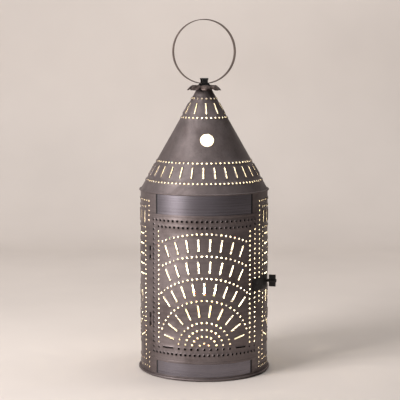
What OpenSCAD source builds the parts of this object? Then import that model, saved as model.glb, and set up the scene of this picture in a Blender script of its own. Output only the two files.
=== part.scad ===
// Punched-tin candle lantern: a round sheet-metal body on a wired base pan, a conical
// pierced hood with a petal collar, a carrying ring, a hinged pierced door and a latch.
// Origin: centre of the underside of the base pan. +Z is up, the door faces -Y.
// Angles named phi are measured around the body from the front, positive towards +X.

/* [Body] */
// Outer radius of the round body
body_r = 125; // [100:1:150]
// Height of the top edge of the body above the table
body_top_z = 354; // [320:1:420]
// Thickness of the tin sheet
sheet_t = 0.8; // [0.6:0.1:1.2]

/* [Base pan] */
// Height of the upturned wall of the base pan
pan_wall_h = 8; // [7:0.5:14]
// Radius of the rolled bead around the foot of the pan
bead_r = 2.1; // [1.8:0.1:2.8]
// Height of the middle of the bead
bead_z = 3.6; // [3:0.1:6]

/* [Front bands and window] */
// Arc length from the middle of the front to each upright slit
slit_arc = 101; // [80:1:108]
// Width of the two upright slits beside the bands
slit_w = 4.2; // [2:0.2:5]
// Height where the window ends above the sill band
window_low_z = 64; // [50:1:90]
// Height where the window ends below the header band
window_high_z = 290; // [250:1:300]
// Arc length from the middle of the front to the jamb on the latch side
jamb_arc = 112.5; // [104:0.5:118]
// Width of the straps behind the slits that join the bands to the body
splice_w = 16; // [10:1:22]

/* [Door] */
// Arc length from the middle of the door to each upright edge
door_half_arc = 116.5; // [110:0.5:123]
// Height of the lower edge of the door
door_low_z = 33.5; // [20:0.5:45]
// Height of the upper edge of the door
door_high_z = 317; // [300:0.5:340]
// Gap between the door and the body behind it
door_gap = 0.5; // [0.4:0.1:1]
// Depth of the hems folded along the edges of the door
hem_w = 4.5; // [3:0.5:6]

/* [Piercing] */
// Width of a chisel slot
slot_w = 3.4; // [2:0.1:5]
// Length of a chisel slot on the door and the body
slot_l = 23; // [15:1:28]
// Height of the middle of the sunburst on the door
sun_z = 64; // [60:1:80]
// Height of the middle of the sunbursts at the sides and the back
side_sun_z = 50; // [44:1:80]
// Radius of the first ring of slots in the sunburst on the door
sun_first_r = 72.3; // [60:0.1:80]
// Radius of the first ring of slots in the sunbursts at the sides and the back
side_sun_first_r = 66; // [56:0.1:70]
// Distance from one ring of slots to the next
sun_step = 41.8; // [36:0.1:48]
// Number of pierced panels around the sides and the back
panel_count = 3; // [1:1:4]
// Arc length from the middle of the front to the edge of the first panel
panel_start_arc = 125.4; // [124:0.1:140]

/* [Hinges] */
// Radius of a hinge pin
hinge_pin_r = 0.8; // [0.6:0.1:1.1]
// Clearance between a hinge pin and the knuckles that turn on it
hinge_clear = 0.05; // [0.03:0.01:0.1]
// Outer radius of the rolled knuckles
knuckle_r = 1.6; // [1.5:0.1:2.4]
// Height of a hinge
hinge_h = 26; // [20:1:36]
// Height of the middle of the lower hinge
hinge_low_z = 110; // [90:1:130]
// Height of the middle of the upper hinge
hinge_high_z = 240; // [220:1:270]
// Gap between one knuckle and the next
knuckle_gap = 0.3; // [0.2:0.1:0.6]

/* [Latch] */
// Angle of the latch stud around the body
latch_phi = 75; // [72:1:80]
// Height of the middle of the latch
latch_z = 179; // [150:0.5:200]
// Height of the hasp strap
hasp_h = 25; // [18:1:30]
// Thickness of the hasp strap
hasp_t = 1; // [0.8:0.1:1.5]
// Radius of the latch stud
stud_r = 2; // [1.5:0.1:2.5]
// Clearance between the stud and the turn button on it
stud_clear = 0.06; // [0.03:0.01:0.1]
// Height of the turn button
button_h = 23; // [16:1:26]
// Distance that the turn button stands out, from its back to its front
button_d = 13; // [9:0.5:16]
// Width of the folded turn button
button_w = 5; // [4:0.5:6.5]
// Free space between the hasp and the turn button
button_gap = 4; // [3.6:0.1:6]

/* [Hood] */
// Height of the top edge of the hood cone
hood_top_z = 553; // [520:1:620]
// Radius of the hood cone at its top edge
hood_top_r = 13.2; // [11:0.1:14]
// Radius of the rolled bead around the rim of the hood
hood_bead_r = 1.7; // [1.5:0.1:2.4]
// Number of slots around the lower band of the hood
hood_low_slots = 30; // [16:1:36]
// Number of slots around the upper band of the hood
hood_high_slots = 11; // [6:1:14]
// Height of the middle of the lower band of slots
hood_low_z = 394.7; // [380:0.1:410]
// Height of the middle of the upper band of slots
hood_high_z = 513.5; // [490:0.5:525]
// Radius of the round vent hole
vent_r = 13.2; // [8:0.1:18]
// Height of the middle of the vent hole
vent_z = 455; // [440:1:470]
// Angle of the vent hole around the hood
vent_phi = 4.4; // [-20:0.1:20]

/* [Carrying ring] */
// Outer radius of the ring
ring_r = 62.4; // [45:0.1:75]
// Width of the ring strap
ring_w = 12; // [8:0.5:12]
// Thickness of the ring strap
ring_t = 1.4; // [1:0.1:1.8]
// Angle that the ring is turned around the middle of the lantern
ring_yaw = 14; // [-45:1:45]
// Width of the eye strap that holds the ring
eye_w = 14; // [10:0.5:18]
// Thickness of the eye strap
eye_t = 1.2; // [1:0.1:1.6]
// Free height inside the eye
eye_free_h = 14.4; // [14.4:0.1:17]

/* [Petal collar] */
// Number of petals
petal_count = 8; // [5:1:12]
// Distance from the middle of the collar to the tip of a petal
petal_tip_r = 33.7; // [28:0.1:40]
// Radius of the rounded outline of a petal
petal_r = 9.7; // [6:0.1:11]

/* [Candle] */
// Radius of the pillar candle
candle_r = 37.5; // [25:0.5:50]
// Height of the pillar candle
candle_h = 150; // [75:1:200]
// Free space between the candle and the wall of its cup
candle_gap = 1; // [0.5:0.1:2]
// Height of the wall of the candle cup
cup_h = 16; // [10:1:30]

/* [Hidden] */
$fn = 96;
fine_fn = 32;

body_in_r = body_r - sheet_t;
sheet_clear = 0.2;
body_low_z = sheet_t + sheet_clear;
pan_in_r = body_r + 0.3;
pan_out_r = pan_in_r + sheet_t;
bead_sink = 0.3;
bead_ring_r = pan_out_r + bead_r - bead_sink;
hem_shell_t = 0.5;
wire_clear = 0.05;
cut = 1;
hole_l = 12;
slot_depth = 8;

door_in_r = body_r + door_gap;
door_out_r = door_in_r + sheet_t;
hem_out_r = door_out_r + 0.5;
door_half_phi = arc_phi(door_half_arc);
slit_phi = arc_phi(slit_arc);
slit_half_phi = arc_phi(slit_w / 2);
band_half_phi = slit_phi - slit_half_phi;
jamb_phi = arc_phi(jamb_arc);
splice_out_r = body_in_r;
splice_in_r = splice_out_r - sheet_t;
splice_half_phi = arc_phi(splice_w / 2);
splice_end_gap = 0.1;

door_sun_counts = [12, 9, 8, 8];
door_sun_pitches = [16.6, 10.2, 7.8, 6.22];
side_sun_counts = [7, 5, 2, 3];
side_sun_pitches = [22.5, 11.5, 9.6, 7.8];
panel_phi = (360 - 2 * arc_phi(panel_start_arc)) / panel_count;
panel_half_arc = panel_phi * PI / 180 * body_r / 2;
panel_frame = 14.2;
panel_inner_arc = panel_half_arc - panel_frame;
panel_top_slot_z = body_top_z - 46.7;
panel_slot_pitch = 18;
panel_top_count = floor(2 * panel_inner_arc / panel_slot_pitch) + 1;
rung_count = 5;
rung_pitch = 19.7;
rung_low_z = panel_top_slot_z - 112.3;
rung_phi = arc_phi(panel_inner_arc - slot_l / 2 - 7.4);
upright_phi = arc_phi(panel_inner_arc - 16.4);
upright_z = panel_top_slot_z - 156.3;

hinge_axis_r = door_out_r + 1.2;
hinge_axis_phi = -door_half_phi - arc_phi(knuckle_r + 2.6);
hinge_third = hinge_h / 3;
pin_end = 1;
leaf_t = 0.7;
leaf_w = 6;
leaf_slot_w = 3;
leaf_slot_gap = 1;
leaf_reach = 11;
door_rivet_phi = -door_half_phi + arc_phi(leaf_w / 2);
body_rivet_phi = hinge_axis_phi - arc_phi(leaf_w);
hinge_rivet_r = 1.1;
rivet_head_r = 1.9;
rivet_head_t = 0.6;
rivet_seat = 0.04;
rivet_dome_r = 2.7;
rivet_dome_h = 0.8;
rivet_edge = 4;
rivet_span = hinge_h / 2 - rivet_edge;

hasp_in_r = door_out_r;
hasp_out_r = hasp_in_r + hasp_t;
hasp_start_phi = door_half_phi - arc_phi(14);
hasp_end_phi = latch_phi + arc_phi(5);
hasp_rivet_phi = hasp_start_phi + arc_phi(4.5);
hasp_rivet_span = hasp_h / 4;
hasp_fork_gap = 1.5;
hasp_slot_h = 2 * (stud_r + hasp_fork_gap);
hasp_slot_reach = 40;
button_in_r = hasp_out_r + button_gap;
button_out_r = button_in_r + button_d;
button_hub_r = stud_r + 1.6;
stud_step_r = stud_r + 1.2;
stud_step_t = 3.4;
stud_step_gap = 0.2;
stud_tail = 0.3;
nut_corner_r = 4;
nut_t = 1.6;
nut_r = body_in_r - sheet_t - nut_t - 0.1;
stud_cap_t = 1.2;
stud_cap_gap = 0.3;

hood_low_edge_z = body_top_z + hood_bead_r + sheet_clear;
hood_low_edge_r = body_r;
hood_slope = (hood_low_edge_r - hood_top_r) / (hood_top_z - hood_low_edge_z);
hood_lean = atan(hood_slope);
hood_wall_w = sheet_t / cos(hood_lean);
hood_bead_out = 0.9;
hood_bead_ring_r = hood_low_edge_r + hood_bead_out;
hood_slot_l = 24;
hood_low_phi = -1;
hood_high_phi = 6;
vent_cut_l = 16;
seat_h = 9;
seat_lip_h = 8;
seam_w = 5;
seam_t = 0.9;
seam_low_gap = 4;
seam_high_gap = 3;

collar_z = hood_top_z + 0.2;
collar_t = 0.9;
collar_flat_r = hood_top_r + 0.5;
collar_rise = 5.9;
collar_rise_r = 22;
collar_drop = 4.5;
collar_end_r = petal_tip_r + 1;
collar_tip_z = collar_z - collar_drop;
petal_web = 4;
petal_turn = -84;
washer_r = 9;
washer_t = 1.4;
washer_z = collar_z + collar_t;
eye_z = washer_z + washer_t;
eye_inner_z = eye_z + eye_t;
eye_top_z = eye_inner_z + eye_free_h + eye_t;
eye_half_gap = ring_w / 2 + 1.5;
eye_corner = 2.5;
eye_neck_w = eye_w - 3.4;
eye_foot_w = eye_w + 9;
eye_foot_h = 1;
ring_floor_gap = 4.5;
ring_low_z = eye_inner_z + ring_floor_gap;
ring_mid_z = ring_low_z + ring_r;
eye_rivet_r = 1.8;
eye_rivet_head_r = 3.6;
eye_rivet_head_t = 1;

cup_floor_z = sheet_t + 0.1;
cup_in_r = candle_r + candle_gap;
cup_lip = 6;
cup_rivet_count = 3;
cup_rivet_ring_r = cup_in_r - 6;
candle_z = cup_floor_z + sheet_t + 0.2;
candle_top_z = candle_z + candle_h;
candle_edge = 2;
candle_rim_w = 9;
candle_pool_slope = 4;
candle_pool_dip = 1;
candle_pool_z = candle_top_z - 6;
wick_r = 1;
wick_h = 14;
wick_depth = 10;
wick_low_z = candle_pool_z - wick_depth;

// Angle that an arc length on the body spans
function arc_phi(arc) = arc / body_r * 180 / PI;
// Radius of the hood's outer face at a height
function hood_r(z) = hood_low_edge_r - (z - hood_low_edge_z) * hood_slope;

// Places a child on the +X axis at an angle around the lantern
module at_phi(phi) {
    rotate([0, 0, phi - 90])
        children();
}

// Curved wall between two radii, two heights and two angles
module wall(r1, r2, z1, z2, phi1, phi2) {
    at_phi(phi1)
        rotate_extrude(angle = phi2 - phi1)
            translate([r1, z1])
                square([r2 - r1, z2 - z1]);
}

// Full ring between two radii and two heights
module band(r1, r2, z1, z2) {
    rotate_extrude()
        translate([r1, z1])
            square([r2 - r1, z2 - z1]);
}

// Rolled hem that wraps a wire: a hollow ring
module rolled_bead(ring_radius, z, radius) {
    rotate_extrude()
        translate([ring_radius, z])
            difference() {
                circle(r = radius, $fn = fine_fn);
                circle(r = radius - hem_shell_t, $fn = fine_fn);
            }
}

module edge_wire(ring_radius, z, radius) {
    rotate_extrude()
        translate([ring_radius, z])
            circle(r = radius - hem_shell_t - wire_clear, $fn = fine_fn);
}

// Chisel slot through a curved wall; lean turns it from upright towards +phi
module chisel_slot(r, phi, z, lean, length) {
    at_phi(phi)
        translate([r, 0, z])
            rotate([-lean, 0, 0])
                cube([slot_depth, slot_w, length], center = true);
}

// One ring of radial slots around the middle of a sunburst
module sun_ring(r, mid_phi, mid_z, ring_radius, count, pitch) {
    for (i = [0 : count - 1]) {
        lean = (i - (count - 1) / 2) * pitch;
        arc = ring_radius * sin(lean);
        chisel_slot(r, mid_phi + arc_phi(arc), mid_z + ring_radius * cos(lean), lean, slot_l);
    }
}

// Slots of one side or back panel: a row above, rungs and an upright slot at each side,
// and a sunburst between them
module panel_slots(mid_phi) {
    for (i = [0 : panel_top_count - 1]) {
        arc = (i - (panel_top_count - 1) / 2) * panel_slot_pitch;
        chisel_slot(body_r, mid_phi + arc_phi(arc), panel_top_slot_z, 0, slot_l);
    }
    for (side = [-1, 1]) {
        for (i = [0 : rung_count - 1])
            chisel_slot(body_r, mid_phi + side * rung_phi, rung_low_z + i * rung_pitch, 90, slot_l);
        chisel_slot(body_r, mid_phi + side * upright_phi, upright_z, 0, slot_l);
    }
    for (ring = [0 : len(side_sun_counts) - 1])
        sun_ring(body_r, mid_phi, side_sun_z, side_sun_first_r + ring * sun_step,
                side_sun_counts[ring], side_sun_pitches[ring]);
}

// Rivet with a domed head outside
module rivet(r, phi, z, length) {
    at_phi(phi)
        translate([r, 0, z])
            rotate([0, 90, 0]) {
                translate([0, 0, -length])
                    cylinder(r = hinge_rivet_r, h = length, $fn = fine_fn);
                intersection() {
                    translate([0, 0, rivet_dome_h - rivet_dome_r])
                        sphere(r = rivet_dome_r, $fn = fine_fn);
                    cylinder(r = rivet_head_r, h = rivet_dome_h, $fn = fine_fn);
                }
            }
}

module base_pan() {
    color([0.36, 0.33, 0.33]) {
        band(0.001, pan_out_r, 0, sheet_t);
        band(pan_in_r, pan_out_r, 0, pan_wall_h);
        rolled_bead(bead_ring_r, bead_z, bead_r);
    }
}

module base_rim_wire() {
    color([0.3, 0.3, 0.3])
        edge_wire(bead_ring_r, bead_z, bead_r);
}

module body_sheet() {
    edge_phi = slit_phi + slit_half_phi;
    color([0.38, 0.34, 0.34])
        difference() {
            wall(body_in_r, body_r, body_low_z, body_top_z, edge_phi, 360 - edge_phi);
            wall(body_in_r - cut, body_r + cut, window_low_z, window_high_z, band_half_phi, jamb_phi);
            for (i = [0 : panel_count - 1])
                panel_slots(arc_phi(panel_start_arc) + (i + 0.5) * panel_phi);
            for (z = [hinge_low_z, hinge_high_z])
                at_phi(hinge_axis_phi)
                    translate([body_r, 0, z])
                        cube([slot_depth, leaf_slot_w, hinge_h + leaf_slot_gap], center = true);
            at_phi(latch_phi)
                translate([body_r, 0, latch_z])
                    rotate([0, 90, 0])
                        cylinder(r = stud_r, h = hole_l, center = true, $fn = fine_fn);
        }
}

module header_band() {
    color([0.42, 0.40, 0.42])
        wall(body_in_r, body_r, window_high_z, body_top_z, -band_half_phi, band_half_phi);
}

module sill_band() {
    color([0.42, 0.40, 0.42])
        wall(body_in_r, body_r, body_low_z, window_low_z, -band_half_phi, band_half_phi);
}

module splice(side, z1, z2) {
    color([0.06, 0.06, 0.06])
        wall(splice_in_r, splice_out_r, z1, z2,
                side * slit_phi - splice_half_phi, side * slit_phi + splice_half_phi);
}

module header_splice_left() {
    splice(-1, window_high_z + splice_end_gap, body_top_z - seat_h - splice_end_gap);
}

module header_splice_right() {
    splice(1, window_high_z + splice_end_gap, body_top_z - seat_h - splice_end_gap);
}

module sill_splice_left() {
    splice(-1, body_low_z + splice_end_gap, window_low_z - splice_end_gap);
}

module sill_splice_right() {
    splice(1, body_low_z + splice_end_gap, window_low_z - splice_end_gap);
}

// Ring inside the top of the body that the hood rests on
module hood_seat_ring() {
    seat_r = body_in_r;
    lip_z = body_top_z + sheet_clear;
    lip_r = hood_r(lip_z + seat_lip_h) - hood_wall_w - wire_clear;
    color([0.3, 0.28, 0.28]) {
        band(seat_r - sheet_t, seat_r, body_top_z - seat_h, lip_z);
        rotate_extrude()
            polygon([
                [seat_r - sheet_t, lip_z - sheet_t],
                [seat_r, lip_z - sheet_t],
                [lip_r, lip_z + seat_lip_h],
                [lip_r - sheet_t, lip_z + seat_lip_h]
            ]);
    }
}

module hood_cone() {
    color([0.38, 0.34, 0.34])
        difference() {
            rotate_extrude()
                difference() {
                    union() {
                        polygon([
                            [hood_low_edge_r - hood_wall_w, hood_low_edge_z],
                            [hood_low_edge_r, hood_low_edge_z],
                            [hood_top_r, hood_top_z],
                            [hood_top_r - hood_wall_w, hood_top_z]
                        ]);
                        translate([hood_bead_ring_r, hood_low_edge_z])
                            circle(r = hood_bead_r, $fn = fine_fn);
                    }
                    translate([hood_bead_ring_r, hood_low_edge_z])
                        circle(r = hood_bead_r - hem_shell_t, $fn = fine_fn);
                }
            for (i = [0 : hood_low_slots - 1])
                hood_slot(i * 360 / hood_low_slots + hood_low_phi, hood_low_z);
            for (i = [0 : hood_high_slots - 1])
                hood_slot(i * 360 / hood_high_slots + hood_high_phi, hood_high_z);
            at_phi(vent_phi)
                translate([hood_r(vent_z), 0, vent_z])
                    rotate([0, 90 - hood_lean, 0])
                        cylinder(r = vent_r, h = vent_cut_l, center = true);
        }
}

// Slot that follows the slope of the hood
module hood_slot(phi, z) {
    at_phi(phi)
        translate([hood_r(z), 0, z])
            rotate([0, -hood_lean, 0])
                cube([slot_depth, slot_w, hood_slot_l], center = true);
}

module hood_rim_wire() {
    color([0.3, 0.3, 0.3])
        edge_wire(hood_bead_ring_r, hood_low_edge_z, hood_bead_r);
}

// Folded lock seam that closes the hood at the back
module hood_seam() {
    low_z = hood_low_edge_z + seam_low_gap;
    high_z = hood_top_z - seam_high_gap;
    slant_l = (high_z - low_z) / cos(hood_lean);
    mid_z = (low_z + high_z) / 2;
    color([0.35, 0.32, 0.32])
        at_phi(180)
            translate([hood_r(mid_z), 0, mid_z])
                rotate([0, -hood_lean, 0])
                    translate([seam_t / 2, 0, 0])
                        cube([seam_t, seam_w, slant_l], center = true);
}

// Plate that sits on the top of the hood, raised and then bent down into petals
module petal_collar() {
    petal_mid_r = petal_tip_r - petal_r;
    color([0.16, 0.13, 0.12])
        difference() {
            intersection() {
                rotate_extrude()
                    polygon([
                        [0, collar_z],
                        [collar_flat_r, collar_z],
                        [collar_rise_r, collar_z + collar_rise - collar_t],
                        [collar_end_r, collar_tip_z],
                        [collar_end_r, collar_tip_z + collar_t],
                        [collar_rise_r, collar_z + collar_rise],
                        [collar_flat_r, collar_z + collar_t],
                        [0, collar_z + collar_t]
                    ]);
                linear_extrude(height = eye_top_z)
                    union() {
                        circle(r = petal_mid_r - petal_web);
                        for (i = [0 : petal_count - 1])
                            rotate(i * 360 / petal_count + petal_turn)
                                translate([petal_mid_r, 0])
                                    circle(r = petal_r);
                    }
            }
            cylinder(r = eye_rivet_r, h = eye_top_z, $fn = fine_fn);
        }
}

module collar_washer() {
    color([0.1, 0.1, 0.1])
        band(eye_rivet_r, washer_r, washer_z, washer_z + washer_t);
}

// Eye strap: a loop bent round the ring, with a narrow neck and a spread foot
module ring_eye() {
    half = eye_half_gap + eye_t;
    foot_z = eye_inner_z + eye_foot_h;
    neck_low_z = eye_inner_z + eye_free_h / 2;
    neck_high_z = eye_inner_z + eye_free_h * 3 / 4;
    color([0.08, 0.08, 0.08])
        rotate([0, 0, ring_yaw])
            difference() {
                intersection() {
                    rotate([90, 0, 90])
                        linear_extrude(height = eye_foot_w + 2 * cut, center = true)
                            difference() {
                                loop_outline(half, eye_z, eye_top_z, eye_corner + eye_t);
                                loop_outline(eye_half_gap, eye_inner_z, eye_top_z - eye_t, eye_corner);
                            }
                    rotate([90, 0, 0])
                        linear_extrude(height = 2 * (half + cut), center = true)
                            polygon([
                                [-eye_foot_w / 2, eye_z],
                                [eye_foot_w / 2, eye_z],
                                [eye_foot_w / 2, foot_z],
                                [eye_neck_w / 2, neck_low_z],
                                [eye_neck_w / 2, neck_high_z],
                                [eye_w / 2, eye_top_z],
                                [-eye_w / 2, eye_top_z],
                                [-eye_neck_w / 2, neck_high_z],
                                [-eye_neck_w / 2, neck_low_z],
                                [-eye_foot_w / 2, foot_z]
                            ]);
                }
                cylinder(r = eye_rivet_r, h = foot_z, $fn = fine_fn);
            }
}

// Upright outline with square lower corners and rounded upper corners
module loop_outline(half, z1, z2, corner) {
    translate([-half, z1])
        square([2 * half, z2 - z1 - corner]);
    translate([-half + corner, z1])
        square([2 * (half - corner), z2 - z1]);
    for (side = [-1, 1])
        translate([side * (half - corner), z2 - corner])
            circle(r = corner, $fn = fine_fn);
}

module eye_rivet() {
    tail_z = collar_z - eye_rivet_head_t;
    color([0.1, 0.1, 0.1]) {
        translate([0, 0, tail_z])
            cylinder(r = eye_rivet_r, h = eye_inner_z - tail_z, $fn = fine_fn);
        translate([0, 0, eye_inner_z])
            cylinder(r = eye_rivet_head_r, h = eye_rivet_head_t, $fn = fine_fn);
        translate([0, 0, tail_z - eye_rivet_head_t])
            cylinder(r = eye_rivet_head_r, h = 2 * eye_rivet_head_t, $fn = fine_fn);
    }
}

module carrying_ring() {
    color([0.42, 0.37, 0.34])
        rotate([0, 0, ring_yaw])
            translate([0, 0, ring_mid_z])
                rotate([90, 0, 0])
                    band(ring_r - ring_t, ring_r, -ring_w / 2, ring_w / 2);
}

module door_panel() {
    half = door_half_phi;
    color([0.38, 0.34, 0.34])
        difference() {
            union() {
                wall(door_in_r, door_out_r, door_low_z, door_high_z, -half, half);
                wall(door_in_r, hem_out_r, door_low_z, door_low_z + hem_w, -half, half);
                wall(door_in_r, hem_out_r, door_high_z - hem_w, door_high_z, -half, half);
            }
            for (ring = [0 : len(door_sun_counts) - 1])
                sun_ring(door_in_r, 0, sun_z, sun_first_r + ring * sun_step,
                        door_sun_counts[ring], door_sun_pitches[ring]);
            for (z = [hinge_low_z, hinge_high_z], side = [-1, 1])
                rivet_hole(door_rivet_phi, z + side * rivet_span);
            for (side = [-1, 1])
                rivet_hole(hasp_rivet_phi, latch_z + side * hasp_rivet_span);
        }
}

module rivet_hole(phi, z) {
    at_phi(phi)
        translate([door_in_r, 0, z])
            rotate([0, 90, 0])
                cylinder(r = hinge_rivet_r, h = hole_l, center = true, $fn = fine_fn);
}

// One knuckle: a rolled tube around the hinge axis
module knuckle(z1, z2) {
    at_phi(hinge_axis_phi)
        translate([hinge_axis_r, 0, z1])
            cylinder(r = knuckle_r, h = z2 - z1, $fn = fine_fn);
}

module knuckle_bore(z1, z2, clearance) {
    at_phi(hinge_axis_phi)
        translate([hinge_axis_r, 0, z1 - cut])
            cylinder(r = hinge_pin_r + clearance, h = z2 - z1 + 2 * cut, $fn = fine_fn);
}

// Leaf inside the body; its two knuckles pass out through the slot
module hinge_body_leaf(z) {
    low = z - hinge_h / 2;
    high = z + hinge_h / 2;
    leaf_end_phi = hinge_axis_phi - arc_phi(leaf_reach);
    color([0.14, 0.13, 0.13])
        difference() {
            union() {
                wall(body_in_r - leaf_t, body_in_r, low, high,
                        leaf_end_phi, hinge_axis_phi + arc_phi(leaf_slot_w));
                for (z1 = [low, high - hinge_third]) {
                    knuckle(z1, z1 + hinge_third);
                    at_phi(hinge_axis_phi)
                        translate([body_in_r - leaf_t, -leaf_t, z1])
                            cube([hinge_axis_r - body_in_r, 2 * leaf_t, hinge_third]);
                }
            }
            knuckle_bore(low, high, 0);
            for (side = [-1, 1])
                at_phi(body_rivet_phi)
                    translate([body_in_r, 0, z + side * rivet_span])
                        rotate([0, 90, 0])
                            cylinder(r = hinge_rivet_r, h = hole_l, center = true, $fn = fine_fn);
        }
}

// Leaf on the door; its middle knuckle turns on the pin
module hinge_door_leaf(z) {
    low = z - hinge_h / 2;
    high = z + hinge_h / 2;
    knuckle_low = low + hinge_third + knuckle_gap;
    knuckle_high = high - hinge_third - knuckle_gap;
    leaf_r = door_out_r + leaf_t;
    tongue_phi = hinge_axis_phi + arc_phi((hinge_pin_r + knuckle_r) / 2);
    color([0.30, 0.27, 0.27])
        difference() {
            union() {
                wall(door_out_r, leaf_r, low, high, -door_half_phi, -door_half_phi + arc_phi(leaf_w));
                wall(door_out_r, leaf_r, knuckle_low, knuckle_high, tongue_phi, -door_half_phi);
                knuckle(knuckle_low, knuckle_high);
            }
            knuckle_bore(knuckle_low, knuckle_high, hinge_clear);
            for (side = [-1, 1])
                rivet_hole(door_rivet_phi, z + side * rivet_span);
        }
}

module hinge_pin(z) {
    color([0.2, 0.2, 0.2])
        at_phi(hinge_axis_phi)
            translate([hinge_axis_r, 0, z - hinge_h / 2 - pin_end])
                cylinder(r = hinge_pin_r, h = hinge_h + 2 * pin_end, $fn = fine_fn);
}

module upper_hinge_body_leaf() {
    hinge_body_leaf(hinge_high_z);
}

module upper_hinge_door_leaf() {
    hinge_door_leaf(hinge_high_z);
}

module upper_hinge_pin() {
    hinge_pin(hinge_high_z);
}

module lower_hinge_body_leaf() {
    hinge_body_leaf(hinge_low_z);
}

module lower_hinge_door_leaf() {
    hinge_door_leaf(hinge_low_z);
}

module lower_hinge_pin() {
    hinge_pin(hinge_low_z);
}

// Small rivets through the body sheet and the inner leaves, flush outside
module body_hinge_rivets() {
    color([0.3, 0.28, 0.28])
        for (z = [hinge_low_z, hinge_high_z], side = [-1, 1])
            at_phi(body_rivet_phi)
                translate([body_in_r - leaf_t, 0, z + side * rivet_span])
                    rotate([0, 90, 0]) {
                        translate([0, 0, -rivet_head_t])
                            cylinder(r = hinge_rivet_r, h = leaf_t + rivet_head_t, $fn = fine_fn);
                        translate([0, 0, -rivet_head_t - rivet_seat])
                            cylinder(r = rivet_head_r, h = rivet_head_t, $fn = fine_fn);
                    }
}

module door_hinge_rivets() {
    color([0.3, 0.28, 0.28])
        for (z = [hinge_low_z, hinge_high_z], side = [-1, 1])
            rivet(door_out_r + leaf_t, door_rivet_phi, z + side * rivet_span, leaf_t + sheet_t);
}

// Hasp strap riveted to the door, forked so that it slides round the stud
module latch_hasp() {
    color([0.12, 0.11, 0.11])
        difference() {
            wall(hasp_in_r, hasp_out_r, latch_z - hasp_h / 2, latch_z + hasp_h / 2,
                    hasp_start_phi, hasp_end_phi);
            at_phi(latch_phi)
                translate([hasp_in_r - cut, -stud_r - hasp_fork_gap, latch_z - hasp_slot_h / 2])
                    cube([hasp_t + 3 * cut, hasp_slot_reach, hasp_slot_h]);
            for (side = [-1, 1])
                rivet_hole(hasp_rivet_phi, latch_z + side * hasp_rivet_span);
        }
}

module hasp_rivets() {
    color([0.1, 0.1, 0.1])
        for (side = [-1, 1])
            rivet(hasp_out_r, hasp_rivet_phi, latch_z + side * hasp_rivet_span, hasp_t + sheet_t);
}

// Stepped stud fixed through the body sheet
module latch_stud() {
    tail_r = nut_r - stud_tail;
    color([0.1, 0.1, 0.1])
        at_phi(latch_phi)
            translate([0, 0, latch_z])
                rotate([0, 90, 0]) {
                    translate([0, 0, tail_r])
                        cylinder(r = stud_r, h = button_out_r + stud_cap_gap - tail_r, $fn = fine_fn);
                    translate([0, 0, button_in_r - stud_step_t - stud_step_gap])
                        cylinder(r = stud_step_r, h = stud_step_t, $fn = fine_fn);
                }
}

module stud_nut() {
    color([0.2, 0.2, 0.2])
        at_phi(latch_phi)
            translate([0, 0, latch_z])
                rotate([0, 90, 0])
                    translate([0, 0, nut_r])
                        difference() {
                            cylinder(r = nut_corner_r, h = nut_t, $fn = 6);
                            translate([0, 0, -cut])
                                cylinder(r = stud_r, h = nut_t + 2 * cut, $fn = fine_fn);
                        }
}

// Turn button: a strap folded double into a thick bar with a hub through its middle
module turn_button() {
    color([0.08, 0.08, 0.08])
        at_phi(latch_phi)
            translate([button_in_r, 0, latch_z])
                difference() {
                    union() {
                        translate([0, -button_w / 2, -button_h / 2])
                            cube([button_d, button_w, button_h]);
                        rotate([0, 90, 0])
                            cylinder(r = button_hub_r, h = button_d, $fn = fine_fn);
                    }
                    translate([-cut, 0, 0])
                        rotate([0, 90, 0])
                            cylinder(r = stud_r + stud_clear, h = button_d + 2 * cut, $fn = fine_fn);
                }
}

// Peened cap that keeps the turn button on the stud
module stud_cap() {
    color([0.1, 0.1, 0.1])
        at_phi(latch_phi)
            translate([button_out_r + stud_cap_gap, 0, latch_z])
                rotate([0, 90, 0])
                    cylinder(r = stud_step_r, h = stud_cap_t, $fn = fine_fn);
}

// Shallow cup with an outward lip that holds the foot of the candle
module candle_cup() {
    color([0.3, 0.28, 0.28])
        difference() {
            union() {
                band(0.001, cup_in_r + sheet_t, cup_floor_z, cup_floor_z + sheet_t);
                band(cup_in_r, cup_in_r + sheet_t, cup_floor_z, cup_floor_z + cup_h);
                band(cup_in_r, cup_in_r + cup_lip, cup_floor_z + cup_h - sheet_t, cup_floor_z + cup_h);
            }
            for (i = [0 : cup_rivet_count - 1])
                rotate([0, 0, i * 360 / cup_rivet_count])
                    translate([cup_rivet_ring_r, 0, 0])
                        cylinder(r = hinge_rivet_r, h = cup_h, $fn = fine_fn);
        }
}

// Flat rivets that hold the cup to the pan floor
module cup_rivets() {
    color([0.3, 0.28, 0.28])
        for (i = [0 : cup_rivet_count - 1])
            rotate([0, 0, i * 360 / cup_rivet_count])
                translate([cup_rivet_ring_r, 0, sheet_t])
                    cylinder(r = hinge_rivet_r, h = cup_floor_z, $fn = fine_fn);
}

module candle() {
    hollow_r = candle_r - candle_rim_w;
    color([0.93, 0.89, 0.78])
        difference() {
            rotate_extrude()
                polygon([
                    [0, candle_z],
                    [candle_r, candle_z],
                    [candle_r, candle_top_z - candle_edge],
                    [candle_r - candle_edge, candle_top_z],
                    [hollow_r, candle_top_z],
                    [hollow_r - candle_pool_slope, candle_pool_z + candle_pool_dip],
                    [0, candle_pool_z]
                ]);
            translate([0, 0, wick_low_z])
                cylinder(r = wick_r, h = wick_depth + wick_h, $fn = fine_fn);
        }
}

module wick() {
    color([0.1, 0.08, 0.06])
        translate([0, 0, wick_low_z])
            cylinder(r = wick_r, h = wick_depth + wick_h, $fn = fine_fn);
}

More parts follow.
